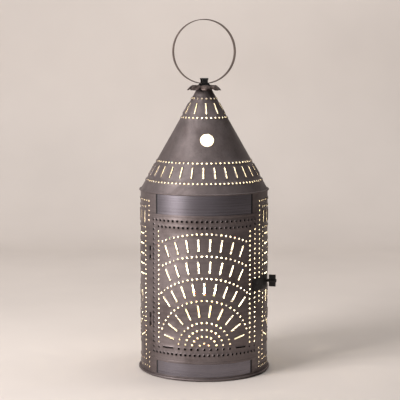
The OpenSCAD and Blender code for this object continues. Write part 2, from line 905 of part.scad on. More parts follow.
base_pan();
base_rim_wire();
body_sheet();
header_band();
sill_band();
header_splice_left();
header_splice_right();
sill_splice_left();
sill_splice_right();
hood_seat_ring();
hood_cone();
hood_rim_wire();
hood_seam();
petal_collar();
collar_washer();
ring_eye();
eye_rivet();
carrying_ring();
door_panel();
upper_hinge_body_leaf();
upper_hinge_door_leaf();
upper_hinge_pin();
lower_hinge_body_leaf();
lower_hinge_door_leaf();
lower_hinge_pin();
body_hinge_rivets();
door_hinge_rivets();
latch_hasp();
hasp_rivets();
latch_stud();
stud_nut();
turn_button();
stud_cap();
candle_cup();
cup_rivets();
candle();
wick();
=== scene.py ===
"""Builds the looks of a punched-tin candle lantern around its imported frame."""

import math
import random

import bpy
from bpy.props import FloatProperty, FloatVectorProperty, IntProperty, PointerProperty
from mathutils import Matrix, Vector, noise
from mathutils.geometry import delaunay_2d_cdt


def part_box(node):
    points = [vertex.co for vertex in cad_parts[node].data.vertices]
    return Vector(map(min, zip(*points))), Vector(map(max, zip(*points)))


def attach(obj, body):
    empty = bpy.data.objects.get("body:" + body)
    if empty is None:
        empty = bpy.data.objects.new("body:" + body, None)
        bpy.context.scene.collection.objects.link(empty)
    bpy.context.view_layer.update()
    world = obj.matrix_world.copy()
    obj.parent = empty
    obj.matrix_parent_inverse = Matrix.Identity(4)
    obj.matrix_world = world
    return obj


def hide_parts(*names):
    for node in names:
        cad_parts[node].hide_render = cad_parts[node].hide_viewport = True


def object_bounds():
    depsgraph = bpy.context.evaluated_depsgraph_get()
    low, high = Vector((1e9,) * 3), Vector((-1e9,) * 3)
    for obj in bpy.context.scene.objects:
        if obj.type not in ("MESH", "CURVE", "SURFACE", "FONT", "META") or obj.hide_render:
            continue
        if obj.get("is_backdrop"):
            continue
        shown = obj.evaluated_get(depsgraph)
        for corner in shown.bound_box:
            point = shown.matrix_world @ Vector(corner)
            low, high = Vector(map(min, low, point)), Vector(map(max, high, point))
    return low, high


bl_info = {
    "name": "Punched-Tin Candle Lantern",
    "version": (1, 0, 0),
    "blender": (4, 5, 0),
    "location": "View3D > Sidebar > Lantern",
    "description": "Makes the pierced sheets, hood, collar, latch, ring and candle of a tin lantern",
    "category": "Add Mesh",
}

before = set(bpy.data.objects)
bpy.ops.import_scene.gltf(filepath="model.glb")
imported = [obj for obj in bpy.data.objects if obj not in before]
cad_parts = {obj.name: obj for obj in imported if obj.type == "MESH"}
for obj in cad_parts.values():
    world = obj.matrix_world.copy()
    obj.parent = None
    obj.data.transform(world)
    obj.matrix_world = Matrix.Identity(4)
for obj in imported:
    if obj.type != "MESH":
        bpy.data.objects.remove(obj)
CAD_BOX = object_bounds()

MM = 0.001
SHEET = 0.8 * MM
HEM_RISE = 0.5 * MM
SLIT_WIDTH = 4.2 * MM
CORNER = 0.8 * MM
HOOD_TOP_RADIUS = 13.2 * MM


# ---------------------------------------------------------------- measures taken from the frame

def body_radius():
    """Outer radius of the round body."""
    return -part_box("header_band")[0].y


def door_radius():
    """Outer radius of the door sheet, without the hems that stand on it."""
    return -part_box("door_panel")[0].y - HEM_RISE


def slit_angle():
    """Angle from the front to the edge of the body sheet beside the bands."""
    return math.asin(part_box("header_band")[1].x / body_radius()) + SLIT_WIDTH / body_radius()


def door_half_angle():
    """Angle from the front to the upright edges of the door."""
    half_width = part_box("door_panel")[1].x
    return math.asin(min(1.0, half_width / -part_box("door_panel")[0].y))


# ---------------------------------------------------------------- settings

class PiercingSettings(bpy.types.PropertyGroup):
    """Sizes of the punched dots and chisel slots."""

    dot_radius: FloatProperty(name="Dot radius", description="Radius of a punched dot",
                              default=1.8 * MM, unit="LENGTH")
    dot_pitch: FloatProperty(name="Dot pitch", description="Distance from dot to dot",
                             default=9.3 * MM, unit="LENGTH")
    slot_width: FloatProperty(name="Slot width", description="Width of a chisel slot",
                              default=2.7 * MM, unit="LENGTH")
    slot_length: FloatProperty(name="Slot length", description="Length of a chisel slot",
                               default=23 * MM, unit="LENGTH")
    burr: FloatProperty(name="Burr", description="Height of the raised lip around a hole",
                        default=0.9 * MM, unit="LENGTH")
    sun_height: FloatProperty(name="Door sunburst height",
                              description="Height of the middle of the door's sunburst",
                              default=64 * MM, unit="LENGTH")
    side_sun_height: FloatProperty(name="Side sunburst height",
                                   description="Height of the middle of the other sunbursts",
                                   default=50 * MM, unit="LENGTH")
    first_ring: FloatProperty(name="Door slot ring",
                              description="Radius of the first ring of slots on the door",
                              default=72.3 * MM, unit="LENGTH")
    side_first_ring: FloatProperty(name="Side slot ring",
                                   description="Radius of the first ring of slots elsewhere",
                                   default=66 * MM, unit="LENGTH")
    ring_step: FloatProperty(name="Ring step", description="Distance between rings of slots",
                             default=41.8 * MM, unit="LENGTH")
    seed: IntProperty(name="Seed", description="Seed for the ragged lips", default=7, min=0)


class FinishSettings(bpy.types.PropertyGroup):
    """Colours of the metals and the wax."""

    tin: FloatVectorProperty(name="Tin", description="Colour of the antiqued tin", subtype="COLOR", size=3,
                             default=(0.185, 0.155, 0.153), min=0, max=1)
    patina: FloatVectorProperty(name="Patina", description="Colour of the brown patina on the tin",
                                subtype="COLOR",
                                size=3, default=(0.092, 0.070, 0.066), min=0, max=1)
    band: FloatVectorProperty(name="Band", description="Colour of the smooth bands", subtype="COLOR", size=3,
                              default=(0.20, 0.185, 0.205), min=0, max=1)
    iron: FloatVectorProperty(name="Iron", description="Colour of the black ironwork",
                              subtype="COLOR", size=3,
                              default=(0.016, 0.015, 0.015), min=0, max=1)
    ring: FloatVectorProperty(name="Ring", description="Colour of the carrying ring", subtype="COLOR", size=3,
                              default=(0.20, 0.155, 0.135), min=0, max=1)
    wax: FloatVectorProperty(name="Wax", description="Colour of the candle", subtype="COLOR", size=3,
                             default=(0.87, 0.76, 0.55), min=0, max=1)


class StageSettings(bpy.types.PropertyGroup):
    """Camera and light."""

    camera_distance: FloatProperty(name="Camera distance", description="From the lantern's axis",
                                   default=2.386, unit="LENGTH")
    camera_height: FloatProperty(name="Camera height", description="Above the table",
                                 default=0.5994, unit="LENGTH")
    camera_side: FloatProperty(name="Camera side", description="To the right of the axis",
                               default=-0.0081, unit="LENGTH")
    camera_tilt: FloatProperty(name="Camera tilt", description="Downward tilt of the camera",
                               default=math.radians(6.366), subtype="ANGLE")
    lens: FloatProperty(name="Lens", description="Focal length in millimetres on a 36 mm film", default=109.7)
    key_power: FloatProperty(name="Key light", description="Power of the light at the left, in watts",
                             default=84)
    candle_power: FloatProperty(name="Candle light", description="Power of the light inside, in watts",
                                default=9)
    candle_light: FloatVectorProperty(name="Candle light colour", description="Colour of the light inside",
                                      subtype="COLOR", size=3, default=(1.0, 0.89, 0.66), min=0, max=1)
    floor: FloatVectorProperty(name="Floor", description="Colour of the floor and backdrop",
                               subtype="COLOR", size=3,
                               default=(0.62, 0.57, 0.53), min=0, max=1)


SETTINGS = (("lantern_piercing", PiercingSettings), ("lantern_finish", FinishSettings),
            ("lantern_stage", StageSettings))


def piercing():
    return bpy.context.scene.lantern_piercing


def finish():
    return bpy.context.scene.lantern_finish


# ---------------------------------------------------------------- materials

class NodeBench:
    """Shortens the making of a material's node tree."""

    def __init__(self, name):
        self.material = bpy.data.materials.new(name)
        self.material.use_nodes = True
        self.tree = self.material.node_tree
        self.shader = self.tree.nodes["Principled BSDF"]
        self.coords = self.tree.nodes.new("ShaderNodeTexCoord").outputs["Object"]

    def link(self, output, target):
        self.tree.links.new(output, target)

    def noise(self, scale, stretch=(1, 1, 1), detail=6.0, roughness=0.55, distortion=0.0):
        mapping = self.tree.nodes.new("ShaderNodeMapping")
        mapping.inputs["Scale"].default_value = stretch
        self.link(self.coords, mapping.inputs["Vector"])
        node = self.tree.nodes.new("ShaderNodeTexNoise")
        node.inputs["Scale"].default_value = scale
        node.inputs["Detail"].default_value = detail
        node.inputs["Roughness"].default_value = roughness
        node.inputs["Distortion"].default_value = distortion
        self.link(mapping.outputs["Vector"], node.inputs["Vector"])
        return node.outputs["Fac"]

    def ramp(self, value, stops):
        node = self.tree.nodes.new("ShaderNodeValToRGB")
        elements = node.color_ramp.elements
        while len(elements) < len(stops):
            elements.new(0.5)
        for element, (place, colour) in zip(elements, stops):
            element.position = place
            element.color = (*colour, 1)
        self.link(value, node.inputs["Fac"])
        return node.outputs["Color"]

    def mix(self, factor, first, second, blend="MIX"):
        node = self.tree.nodes.new("ShaderNodeMix")
        node.data_type = "RGBA"
        node.blend_type = blend
        values = ((node.inputs["Factor"], factor), (node.inputs[6], first), (node.inputs[7], second))
        for socket, value in values:
            if isinstance(value, (int, float)):
                socket.default_value = value
            elif isinstance(value, tuple):
                socket.default_value = (*value, 1)
            else:
                self.link(value, socket)
        return node.outputs[2]

    def span(self, value, low, high, from_low=0.0, from_high=1.0):
        node = self.tree.nodes.new("ShaderNodeMapRange")
        node.inputs["From Min"].default_value = from_low
        node.inputs["From Max"].default_value = from_high
        node.inputs["To Min"].default_value = low
        node.inputs["To Max"].default_value = high
        self.link(value, node.inputs["Value"])
        return node.outputs["Result"]

    def between(self, axis, low, high, soft):
        """One between two places along an axis and nothing outside them."""
        split = self.tree.nodes.new("ShaderNodeSeparateXYZ")
        self.link(self.coords, split.inputs["Vector"])
        above = self.span(split.outputs[axis], 0.0, 1.0, low - soft, low + soft)
        below = self.span(split.outputs[axis], 1.0, 0.0, high - soft, high + soft)
        both = self.tree.nodes.new("ShaderNodeMath")
        both.operation = "MULTIPLY"
        self.link(above, both.inputs[0])
        self.link(below, both.inputs[1])
        return both.outputs["Value"]

    def bump(self, height, strength, distance, below=None):
        node = self.tree.nodes.new("ShaderNodeBump")
        node.inputs["Strength"].default_value = strength
        node.inputs["Distance"].default_value = distance
        self.link(height, node.inputs["Height"])
        if below is not None:
            self.link(below, node.inputs["Normal"])
        return node.outputs["Normal"]


def shade(colour, factor):
    return tuple(min(1.0, c * factor) for c in colour)


def aged_tin(name, base, patina, metallic=0.82, rough=(0.40, 0.62), streak=(6, 6, 240), streak_depth=0.10):
    """Antiqued tin: clouds of brown patina, fine brush marks and small specks."""
    bench = NodeBench(name)
    clouds = bench.noise(9, detail=8, roughness=0.62, distortion=0.6)
    colour = bench.ramp(clouds, [(0.30, patina), (0.52, base), (0.78, shade(base, 1.22))])
    specks = bench.noise(420, detail=3, roughness=0.7)
    speck_mask = bench.ramp(specks, [(0.56, (1, 1, 1)), (0.72, shade((1, 1, 1), 0.62))])
    colour = bench.mix(0.8, colour, speck_mask, "MULTIPLY")
    streaks = bench.noise(1, streak, detail=5, roughness=0.6)
    streak_tone = bench.ramp(streaks, [(0.32, (0.80, 0.80, 0.80)), (0.70, (1.14, 1.13, 1.12))])
    colour = bench.mix(0.75, colour, streak_tone, "MULTIPLY")
    bench.link(colour, bench.shader.inputs["Base Color"])
    bench.shader.inputs["Metallic"].default_value = metallic
    bench.link(bench.span(clouds, rough[1], rough[0], 0.3, 0.75), bench.shader.inputs["Roughness"])
    dents = bench.bump(bench.noise(26, detail=3), 0.35, 1.2 * MM)
    bench.link(bench.bump(streaks, streak_depth, 0.4 * MM, dents), bench.shader.inputs["Normal"])
    return bench.material


def band_tin():
    """Smooth rolled tin with level brush marks and a soft sheen, and painted shade where the door covers it."""
    colour = tuple(finish().band)
    bench = NodeBench("smooth_band_tin")
    streaks = bench.noise(1, (5, 5, 2600), detail=3, roughness=0.5)
    clouds = bench.noise(7, (1, 1, 2.5), detail=5)
    tone = bench.ramp(streaks, [(0.25, shade(colour, 0.72)), (0.50, colour), (0.78, shade(colour, 1.3))])
    cloudy = bench.ramp(clouds, [(0.3, (0.72, 0.70, 0.70)), (0.7, (1.1, 1.1, 1.12))])
    tone = bench.mix(0.6, tone, cloudy, "MULTIPLY")
    door_low, door_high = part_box("door_panel")[0].z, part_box("door_panel")[1].z
    # Painted shade: the bands turn near black where the door covers them.
    door_shade = bench.between("Z", door_low + 3 * MM, door_high - 3 * MM, 1.5 * MM)
    tone = bench.mix(door_shade, tone, (0.006, 0.005, 0.005))
    bench.link(tone, bench.shader.inputs["Base Color"])
    bench.shader.inputs["Metallic"].default_value = 0.92
    bench.link(bench.span(streaks, 0.24, 0.44, 0.25, 0.8), bench.shader.inputs["Roughness"])
    bench.link(bench.bump(streaks, 0.10, 0.3 * MM), bench.shader.inputs["Normal"])
    return bench.material


def door_shadow_tin():
    """Painted shade: near-black tin where the door covers the body and shades it."""
    bench = NodeBench("door_shadow_tin")
    clouds = bench.noise(40, detail=5)
    bench.link(bench.ramp(clouds, [(0.3, (0.004, 0.003, 0.003)), (0.8, (0.014, 0.011, 0.010))]),
               bench.shader.inputs["Base Color"])
    bench.link(bench.span(clouds, 0.7, 0.9), bench.shader.inputs["Roughness"])
    return bench.material


def black_iron(name="black_iron", worn=0.10):
    """Black satin ironwork with rubbed spots."""
    colour = tuple(finish().iron)
    bench = NodeBench(name)
    rubbed = bench.noise(160, detail=5, roughness=0.7)
    bare = (worn, worn * 0.88, worn * 0.8)
    tone = bench.ramp(rubbed, [(0.45, colour), (0.68, shade(colour, 2.4)), (0.82, bare)])
    bench.link(tone, bench.shader.inputs["Base Color"])
    bench.shader.inputs["Metallic"].default_value = 0.55
    bench.link(bench.span(rubbed, 0.58, 0.34, 0.35, 0.8), bench.shader.inputs["Roughness"])
    bench.link(bench.bump(bench.noise(300, detail=4), 0.35, 0.4 * MM), bench.shader.inputs["Normal"])
    return bench.material


def splice_black():
    """Matte near black: painted shade for the straps behind the slits, so that the slits read dark."""
    bench = NodeBench("splice_black")
    clouds = bench.noise(60, detail=4)
    bench.link(bench.ramp(clouds, [(0.3, (0.006, 0.006, 0.007)), (0.8, (0.016, 0.016, 0.018))]),
               bench.shader.inputs["Base Color"])
    bench.link(bench.span(clouds, 0.65, 0.85), bench.shader.inputs["Roughness"])
    return bench.material


def inner_tin():
    """The unaged inside of the sheets: pale bright tin that throws the candle light around."""
    bench = NodeBench("inner_tin")
    clouds = bench.noise(14, detail=5)
    tone = bench.ramp(clouds, [(0.3, (0.42, 0.39, 0.33)), (0.7, (0.56, 0.53, 0.48))])
    bench.link(tone, bench.shader.inputs["Base Color"])
    bench.shader.inputs["Metallic"].default_value = 0.35
    bench.link(bench.span(clouds, 0.45, 0.62), bench.shader.inputs["Roughness"])
    return bench.material


def seat_tin():
    """Seat ring of the hood: inner tin, with painted shade (near black) at the front behind the slits."""
    bench = NodeBench("seat_tin")
    clouds = bench.noise(14, detail=5)
    tone = bench.ramp(clouds, [(0.3, (0.42, 0.39, 0.33)), (0.7, (0.56, 0.53, 0.48))])
    # Painted shade: near black at the front so that the slits above the door read dark.
    front = bench.between("Y", -0.2, -70 * MM, 2 * MM)
    bench.link(bench.mix(front, tone, (0.008, 0.008, 0.009)), bench.shader.inputs["Base Color"])
    bench.link(bench.span(clouds, 0.50, 0.70), bench.shader.inputs["Roughness"])
    return bench.material


def petal_tin():
    """Dark mottled brown patina of the collar."""
    bench = NodeBench("petal_tin")
    blotches = bench.noise(75, detail=7, roughness=0.68, distortion=1.0)
    tone = bench.ramp(blotches, [(0.32, (0.018, 0.012, 0.011)), (0.50, (0.070, 0.050, 0.044)),
                                 (0.72, (0.165, 0.125, 0.112))])
    bench.link(tone, bench.shader.inputs["Base Color"])
    bench.shader.inputs["Metallic"].default_value = 0.7
    bench.link(bench.span(blotches, 0.62, 0.38, 0.3, 0.75), bench.shader.inputs["Roughness"])
    bench.link(bench.bump(blotches, 0.5, 0.8 * MM), bench.shader.inputs["Normal"])
    return bench.material


def wax():
    """Ivory candle wax: softly translucent, a little uneven."""
    colour = tuple(finish().wax)
    bench = NodeBench("ivory_wax")
    clouds = bench.noise(22, detail=4)
    tone = bench.ramp(clouds, [(0.3, shade(colour, 0.90)), (0.7, shade(colour, 1.08))])
    bench.link(tone, bench.shader.inputs["Base Color"])
    bench.shader.inputs["Subsurface Weight"].default_value = 0.35
    bench.shader.inputs["Subsurface Radius"].default_value = (0.012, 0.007, 0.004)
    bench.link(bench.span(clouds, 0.38, 0.55), bench.shader.inputs["Roughness"])
    bench.link(bench.bump(bench.noise(90, detail=3), 0.2, 0.5 * MM), bench.shader.inputs["Normal"])
    return bench.material


def charred_cotton():
    """Burnt wick."""
    bench = NodeBench("charred_cotton")
    fibres = bench.noise(700, (1, 1, 0.2), detail=3)
    bench.link(bench.ramp(fibres, [(0.3, (0.008, 0.006, 0.005)), (0.7, (0.06, 0.045, 0.035))]),
               bench.shader.inputs["Base Color"])
    bench.link(bench.span(fibres, 0.8, 0.95), bench.shader.inputs["Roughness"])
    bench.link(bench.bump(fibres, 0.6, 0.5 * MM), bench.shader.inputs["Normal"])
    return bench.material


_made = {}


def material(make, *args, **kwargs):
    """Makes a material once and hands the same one out again."""
    key = (make.__name__, args, tuple(sorted(kwargs.items())))
    if key not in _made:
        _made[key] = make(*args, **kwargs)
    return _made[key]


def sheet_tin():
    """The tin of the body and the door."""
    return material(aged_tin, "aged_tin", tuple(finish().tin), tuple(finish().patina))


def hood_tin():
    """The tin of the hood: a little darker and duller than the body."""
    return material(aged_tin, "aged_hood_tin", shade(finish().tin, 0.86), shade(finish().patina, 0.95), 0.72,
                    (0.48, 0.66), (60, 60, 60), 0.05)


# ---------------------------------------------------------------- mesh helpers

def add_piece(name, vertices, faces, materials, body, replaced=(), material_ids=None, smooth=True):
    """Adds a mesh piece that rides on a body."""
    mesh = bpy.data.meshes.new(name)
    mesh.from_pydata(vertices, [], faces)
    for item in materials:
        mesh.materials.append(item)
    if material_ids:
        mesh.polygons.foreach_set("material_index", material_ids)
    mesh.polygons.foreach_set("use_smooth", [smooth] * len(mesh.polygons))
    mesh.update()
    piece = bpy.data.objects.new(name, mesh)
    bpy.context.scene.collection.objects.link(piece)
    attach(piece, body)
    if replaced:
        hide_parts(*replaced)
    return piece


def keep_edges(piece, angle=40):
    """Keeps edges sharper than an angle crisp under smooth shading."""
    limit = math.radians(angle)
    mesh = piece.data
    faces_at = {}
    for polygon in mesh.polygons:
        for key in polygon.edge_keys:
            faces_at.setdefault(key, []).append(polygon.normal)
    sharp = [len(faces_at.get(edge.key, ())) == 2
             and faces_at[edge.key][0].angle(faces_at[edge.key][1], 0.0) > limit for edge in mesh.edges]
    mesh.edges.foreach_set("use_edge_sharp", sharp) if hasattr(mesh.edges[0], "use_edge_sharp") else None
    return piece


def paint_node(node, item):
    """Gives a CAD piece its finish."""
    for material_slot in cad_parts[node].material_slots:
        material_slot.material = item


def revolve(name, profile, materials, body, replaced=(), steps=128, wobble=None):
    """Turns a closed outline of (radius, height) points around the +Z axis."""
    vertices, faces = [], []
    count = len(profile)
    for step in range(steps):
        angle = 2 * math.pi * step / steps
        for index, (radius, height) in enumerate(profile):
            if wobble:
                radius, height = wobble(angle, index, radius, height)
            vertices.append((radius * math.sin(angle), -radius * math.cos(angle), height))
        here, there = step * count, (step + 1) % steps * count
        for index in range(count):
            after = (index + 1) % count
            faces.append((here + index, there + index, there + after, here + after))
    return keep_edges(add_piece(name, vertices, faces, materials, body, replaced))


def rounded_outline(half_a, half_b, radius, corner_steps=4, side_steps=1):
    """Points around a rectangle with rounded corners, with the outward direction at each."""
    points = []
    for quarter, (sign_a, sign_b) in enumerate(((1, 1), (-1, 1), (-1, -1), (1, -1))):
        for step in range(corner_steps + 1):
            angle = math.pi / 2 * (quarter + step / corner_steps)
            points.append((sign_a * half_a + radius * math.cos(angle),
                           sign_b * half_b + radius * math.sin(angle)))
        side_from = points[-1]
        next_a, next_b = ((-1, 1), (-1, -1), (1, -1), (1, 1))[quarter]
        angle = math.pi / 2 * (quarter + 1)
        side_to = (next_a * half_a + radius * math.cos(angle), next_b * half_b + radius * math.sin(angle))
        for step in range(1, side_steps):
            t = step / side_steps
            points.append((side_from[0] + (side_to[0] - side_from[0]) * t,
                           side_from[1] + (side_to[1] - side_from[1]) * t))
    return points


def circle_outline(radius, steps):
    angles = [2 * math.pi * i / steps for i in range(steps)]
    return [(radius * math.cos(angle), radius * math.sin(angle)) for angle in angles]


# ---------------------------------------------------------------- pierced sheets

class Surface:
    """Maps a place on the flat sheet (along, up, height above it) to the rolled-up sheet."""

    def place(self, along, up, height):
        raise NotImplementedError

    def stretch(self, up):
        """Flat length for each real length along the sheet at this place."""
        return 1.0


class RoundWall(Surface):
    """An upright cylinder: along is arc length at a reference radius, up is height."""

    def __init__(self, radius, reference):
        self.radius = radius
        self.reference = reference

    def place(self, along, up, height):
        angle = along / self.reference
        reach = self.radius + height
        return Vector((reach * math.sin(angle), -reach * math.cos(angle), up))

    def outward(self, along, up):
        angle = along / self.reference
        return Vector((math.sin(angle), -math.cos(angle), 0))

    def sideways(self, along, up):
        angle = along / self.reference
        return Vector((math.cos(angle), math.sin(angle), 0))

    def upward(self, along, up):
        return Vector((0, 0, 1))


class ConeWall(Surface):
    """A cone: along is angle times a reference radius, up is the slant length from its low edge."""

    def __init__(self, low_radius, low_z, high_radius, high_z, reference):
        self.low_radius = low_radius
        self.low_z = low_z
        self.slant = math.hypot(low_radius - high_radius, high_z - low_z)
        self.sin = (low_radius - high_radius) / self.slant
        self.cos = (high_z - low_z) / self.slant
        self.reference = reference

    def radius_at(self, up):
        return self.low_radius - up * self.sin

    def stretch(self, up):
        return self.reference / max(self.radius_at(up), 4 * MM)

    def slant_of(self, z):
        return (z - self.low_z) / self.cos

    def place(self, along, up, height):
        angle = along / self.reference
        reach = self.radius_at(up) + height * self.cos
        z = self.low_z + up * self.cos + height * self.sin
        return Vector((reach * math.sin(angle), -reach * math.cos(angle), z))

    def outward(self, along, up):
        angle = along / self.reference
        return Vector((self.cos * math.sin(angle), -self.cos * math.cos(angle), self.sin))

    def sideways(self, along, up):
        angle = along / self.reference
        return Vector((math.cos(angle), math.sin(angle), 0))

    def upward(self, along, up):
        angle = along / self.reference
        return Vector((-self.sin * math.sin(angle), self.sin * math.cos(angle), self.cos))


class PiercedSheet:
    """A sheet with holes punched through it from inside, so that every hole has a raised lip."""

    LIP_RINGS = ((1.0, 0.0, 0.10), (0.55, 0.26, 0.55), (0.22, 0.66, 0.85), (0.0, 1.0, 1.0))

    def __init__(self, surface, low, high, keep=None, seed=0):
        self.surface = surface
        self.low = low
        self.high = high
        self.keep = keep
        self.random = random.Random(seed)
        self.holes = []

    def add(self, along, up, half_a, half_b, radius, lean=0.0, lip=1.5 * MM, burr=0.8 * MM, force=False):
        """Adds a hole unless it would run into one that is there."""
        reach = max(half_a, half_b) + radius + lip
        if not force:
            for other in self.holes:
                gap_up = abs(up - other["up"])
                if gap_up > reach + other["reach"]:
                    continue
                gap_along = abs(along - other["along"]) / self.surface.stretch(up)
                if gap_along > reach + other["reach"]:
                    continue
                if self.clearance(along, up, radius + lip, half_a, half_b, lean, other) < 0.1 * MM:
                    return False
        self.holes.append({"along": along, "up": up, "half_a": half_a, "half_b": half_b, "radius": radius,
                           "lean": lean, "lip": lip, "burr": burr, "reach": reach})
        return True

    def clearance(self, along, up, radius, half_a, half_b, lean, other):
        """Least distance from a hole with its lip to another one."""
        best = 1.0
        steps = 5 if half_b > 1 * MM else 0
        for step in range(-steps, steps + 1):
            t = half_b * step / steps if steps else 0.0
            a = along / self.surface.stretch(up) + t * math.sin(lean)
            b = up + t * math.cos(lean)
            best = min(best, self.distance(a, b, other) - radius)
        return best

    def distance(self, a, b, hole):
        """Distance from a point to the outer edge of a hole's lip, in real lengths."""
        da = a - hole["along"] / self.surface.stretch(hole["up"])
        db = b - hole["up"]
        c, s = math.cos(hole["lean"]), math.sin(hole["lean"])
        x = abs(da * c - db * s) - hole["half_a"]
        y = abs(da * s + db * c) - hole["half_b"]
        return math.hypot(max(x, 0), max(y, 0)) - hole["radius"] - hole["lip"]

    def dot(self, along, up, radius=None):
        """Punched dot; its lip is narrower where a neighbour is near."""
        settings = piercing()
        burr = settings.burr * self.random.uniform(0.8, 1.2)
        radius = radius or settings.dot_radius
        return any(self.add(along, up, 0, 0, radius, lip=lip * MM, burr=burr) for lip in (1.1, 0.7))

    def slot(self, along, up, lean=0.0):
        """Chisel slot; lean turns it from upright."""
        settings = piercing()
        burr = settings.burr * self.random.uniform(1.15, 1.45)
        half_b = settings.slot_length / 2 - CORNER
        return self.add(along, up, settings.slot_width / 2 - CORNER, half_b, CORNER, lean, 1.7 * MM, burr)

    def row(self, first, last, up, pitch=None, radius=None):
        """Level row of dots."""
        pitch = (pitch or piercing().dot_pitch) * self.surface.stretch(up)
        count = max(1, round(abs(last - first) / pitch))
        for index in range(count + 1):
            self.dot(first + (last - first) * index / count, up, radius)

    def column(self, along, first, last, gap=None, radius=None):
        """Upright row of dots, with a gap left in it where one is asked for."""
        count = max(1, round(abs(last - first) / piercing().dot_pitch))
        for index in range(count + 1):
            up = first + (last - first) * index / count
            if not gap or not gap[0] < up < gap[1]:
                self.dot(along, up, radius)

    def arc(self, middle, up, radius, half_angle, count):
        """Arc of dots around a point."""
        for index in range(count):
            angle = math.radians(half_angle) * (2 * index / (count - 1) - 1)
            self.dot(middle + radius * math.sin(angle), up + radius * math.cos(angle))

    def sunburst(self, middle, up, first_ring, rings):
        """Rings of slots around the middle of a sunburst; each ring is a count and a pitch in degrees."""
        for ring, (count, pitch) in enumerate(rings):
            radius = first_ring + ring * piercing().ring_step
            for index in range(count):
                lean = math.radians((index - (count - 1) / 2) * pitch)
                self.slot(middle + radius * math.sin(lean), up + radius * math.cos(lean), lean)

    def edge_points(self, outline, step):
        """Evenly spaced points along a closed outline."""
        points = []
        for (a1, b1), (a2, b2) in zip(outline, outline[1:] + outline[:1]):
            count = max(1, round(math.hypot(a2 - a1, b2 - b1) / step))
            points += [(a1 + (a2 - a1) * i / count, b1 + (b2 - b1) * i / count) for i in range(count)]
        return points

    def grid_points(self, step_a, step_b):
        """Points between the holes, so that the sheet bends smoothly."""
        (a1, b1), (a2, b2) = self.low, self.high
        count_a, count_b = round((a2 - a1) / step_a), round((b2 - b1) / step_b)
        points = []
        for row in range(1, count_b):
            up = b1 + (b2 - b1) * row / count_b
            near = [hole for hole in self.holes if abs(hole["up"] - up) < hole["reach"] + 3 * MM]
            shift = 0.5 if row % 2 else 0.0
            for column in range(1, count_a):
                along = a1 + (a2 - a1) * (column + shift * 0.5) / count_a
                if self.keep and not self.keep(along, up, 2 * MM):
                    continue
                real = along / self.surface.stretch(up)
                if all(abs(hole["along"] - along) / self.surface.stretch(up) > hole["reach"] + 3 * MM
                       or self.distance(real, up, hole) > 1.2 * MM for hole in near):
                    points.append((along, up))
        return points

    def hole_outline(self, hole, spread):
        """Outline of a hole, or of its lip at a share of the lip's width."""
        radius = hole["radius"] + hole["lip"] * spread
        if hole["half_a"] == 0 and hole["half_b"] == 0:
            return circle_outline(radius, 10 if hole["radius"] < 4 * MM else 40)
        return rounded_outline(hole["half_a"], hole["half_b"], radius, 2, 5)

    def build(self, name, outline, materials, body, replaced, step_a=6 * MM, step_b=9 * MM):
        """Triangulates the flat sheet, gives it thickness and rolls it up."""
        points, heights, slopes, owner = [], [], [], []
        constraints = []
        edge = self.edge_points(outline, min(step_a, step_b))
        points += edge
        constraints += [(i, (i + 1) % len(edge)) for i in range(len(edge))]
        grid = self.grid_points(step_a, step_b)
        points += grid
        heights += [0.0] * len(points)
        slopes += [(0.0, 0.0)] * len(points)
        owner += [-1] * len(points)
        for number, hole in enumerate(self.holes):
            c, s = math.cos(hole["lean"]), math.sin(hole["lean"])
            for spread, rise, slope in self.LIP_RINGS:
                base = len(points)
                outline_points = self.hole_outline(hole, spread)
                for x, y in outline_points:
                    a, b = x * c + y * s, -x * s + y * c
                    up = hole["up"] + b
                    points.append((hole["along"] + a * self.surface.stretch(up), up))
                    ragged = self.random.uniform(0.82, 1.18) if spread == 0 else 1.0
                    heights.append(hole["burr"] * rise * ragged)
                    ex = max(abs(x) - hole["half_a"], 0) * (1 if x > 0 else -1)
                    ey = max(abs(y) - hole["half_b"], 0) * (1 if y > 0 else -1)
                    size = math.hypot(ex, ey) or 1.0
                    ex, ey = ex / size, ey / size
                    tilt = slope * hole["burr"] / hole["lip"] * 1.3
                    slopes.append(((ex * c + ey * s) * tilt, (-ex * s + ey * c) * tilt))
                    owner.append(number if spread == 0 else -1)
                if spread == 0:
                    count = len(outline_points)
                    constraints += [(base + i, base + (i + 1) % count) for i in range(count)]
        flat = [Vector(p) * 1000 for p in points]
        result = delaunay_2d_cdt(flat, constraints, [], 0, 1e-7)
        flat_vertices, triangles, origins = result[0], result[2], result[3]
        first = [origin[0] if origin else -1 for origin in origins]
        kept = []
        for triangle in triangles:
            ids = [first[v] for v in triangle]
            owners = {owner[i] for i in ids}
            if len(owners) == 1 and -1 not in owners:
                continue
            if self.keep:
                along = sum(flat_vertices[v][0] for v in triangle) / 3000
                up = sum(flat_vertices[v][1] for v in triangle) / 3000
                if not self.keep(along, up, 0.0):
                    continue
            kept.append(tuple(triangle))
        return self.solid(name, flat_vertices, first, kept, heights, slopes,
                          materials, body, replaced)

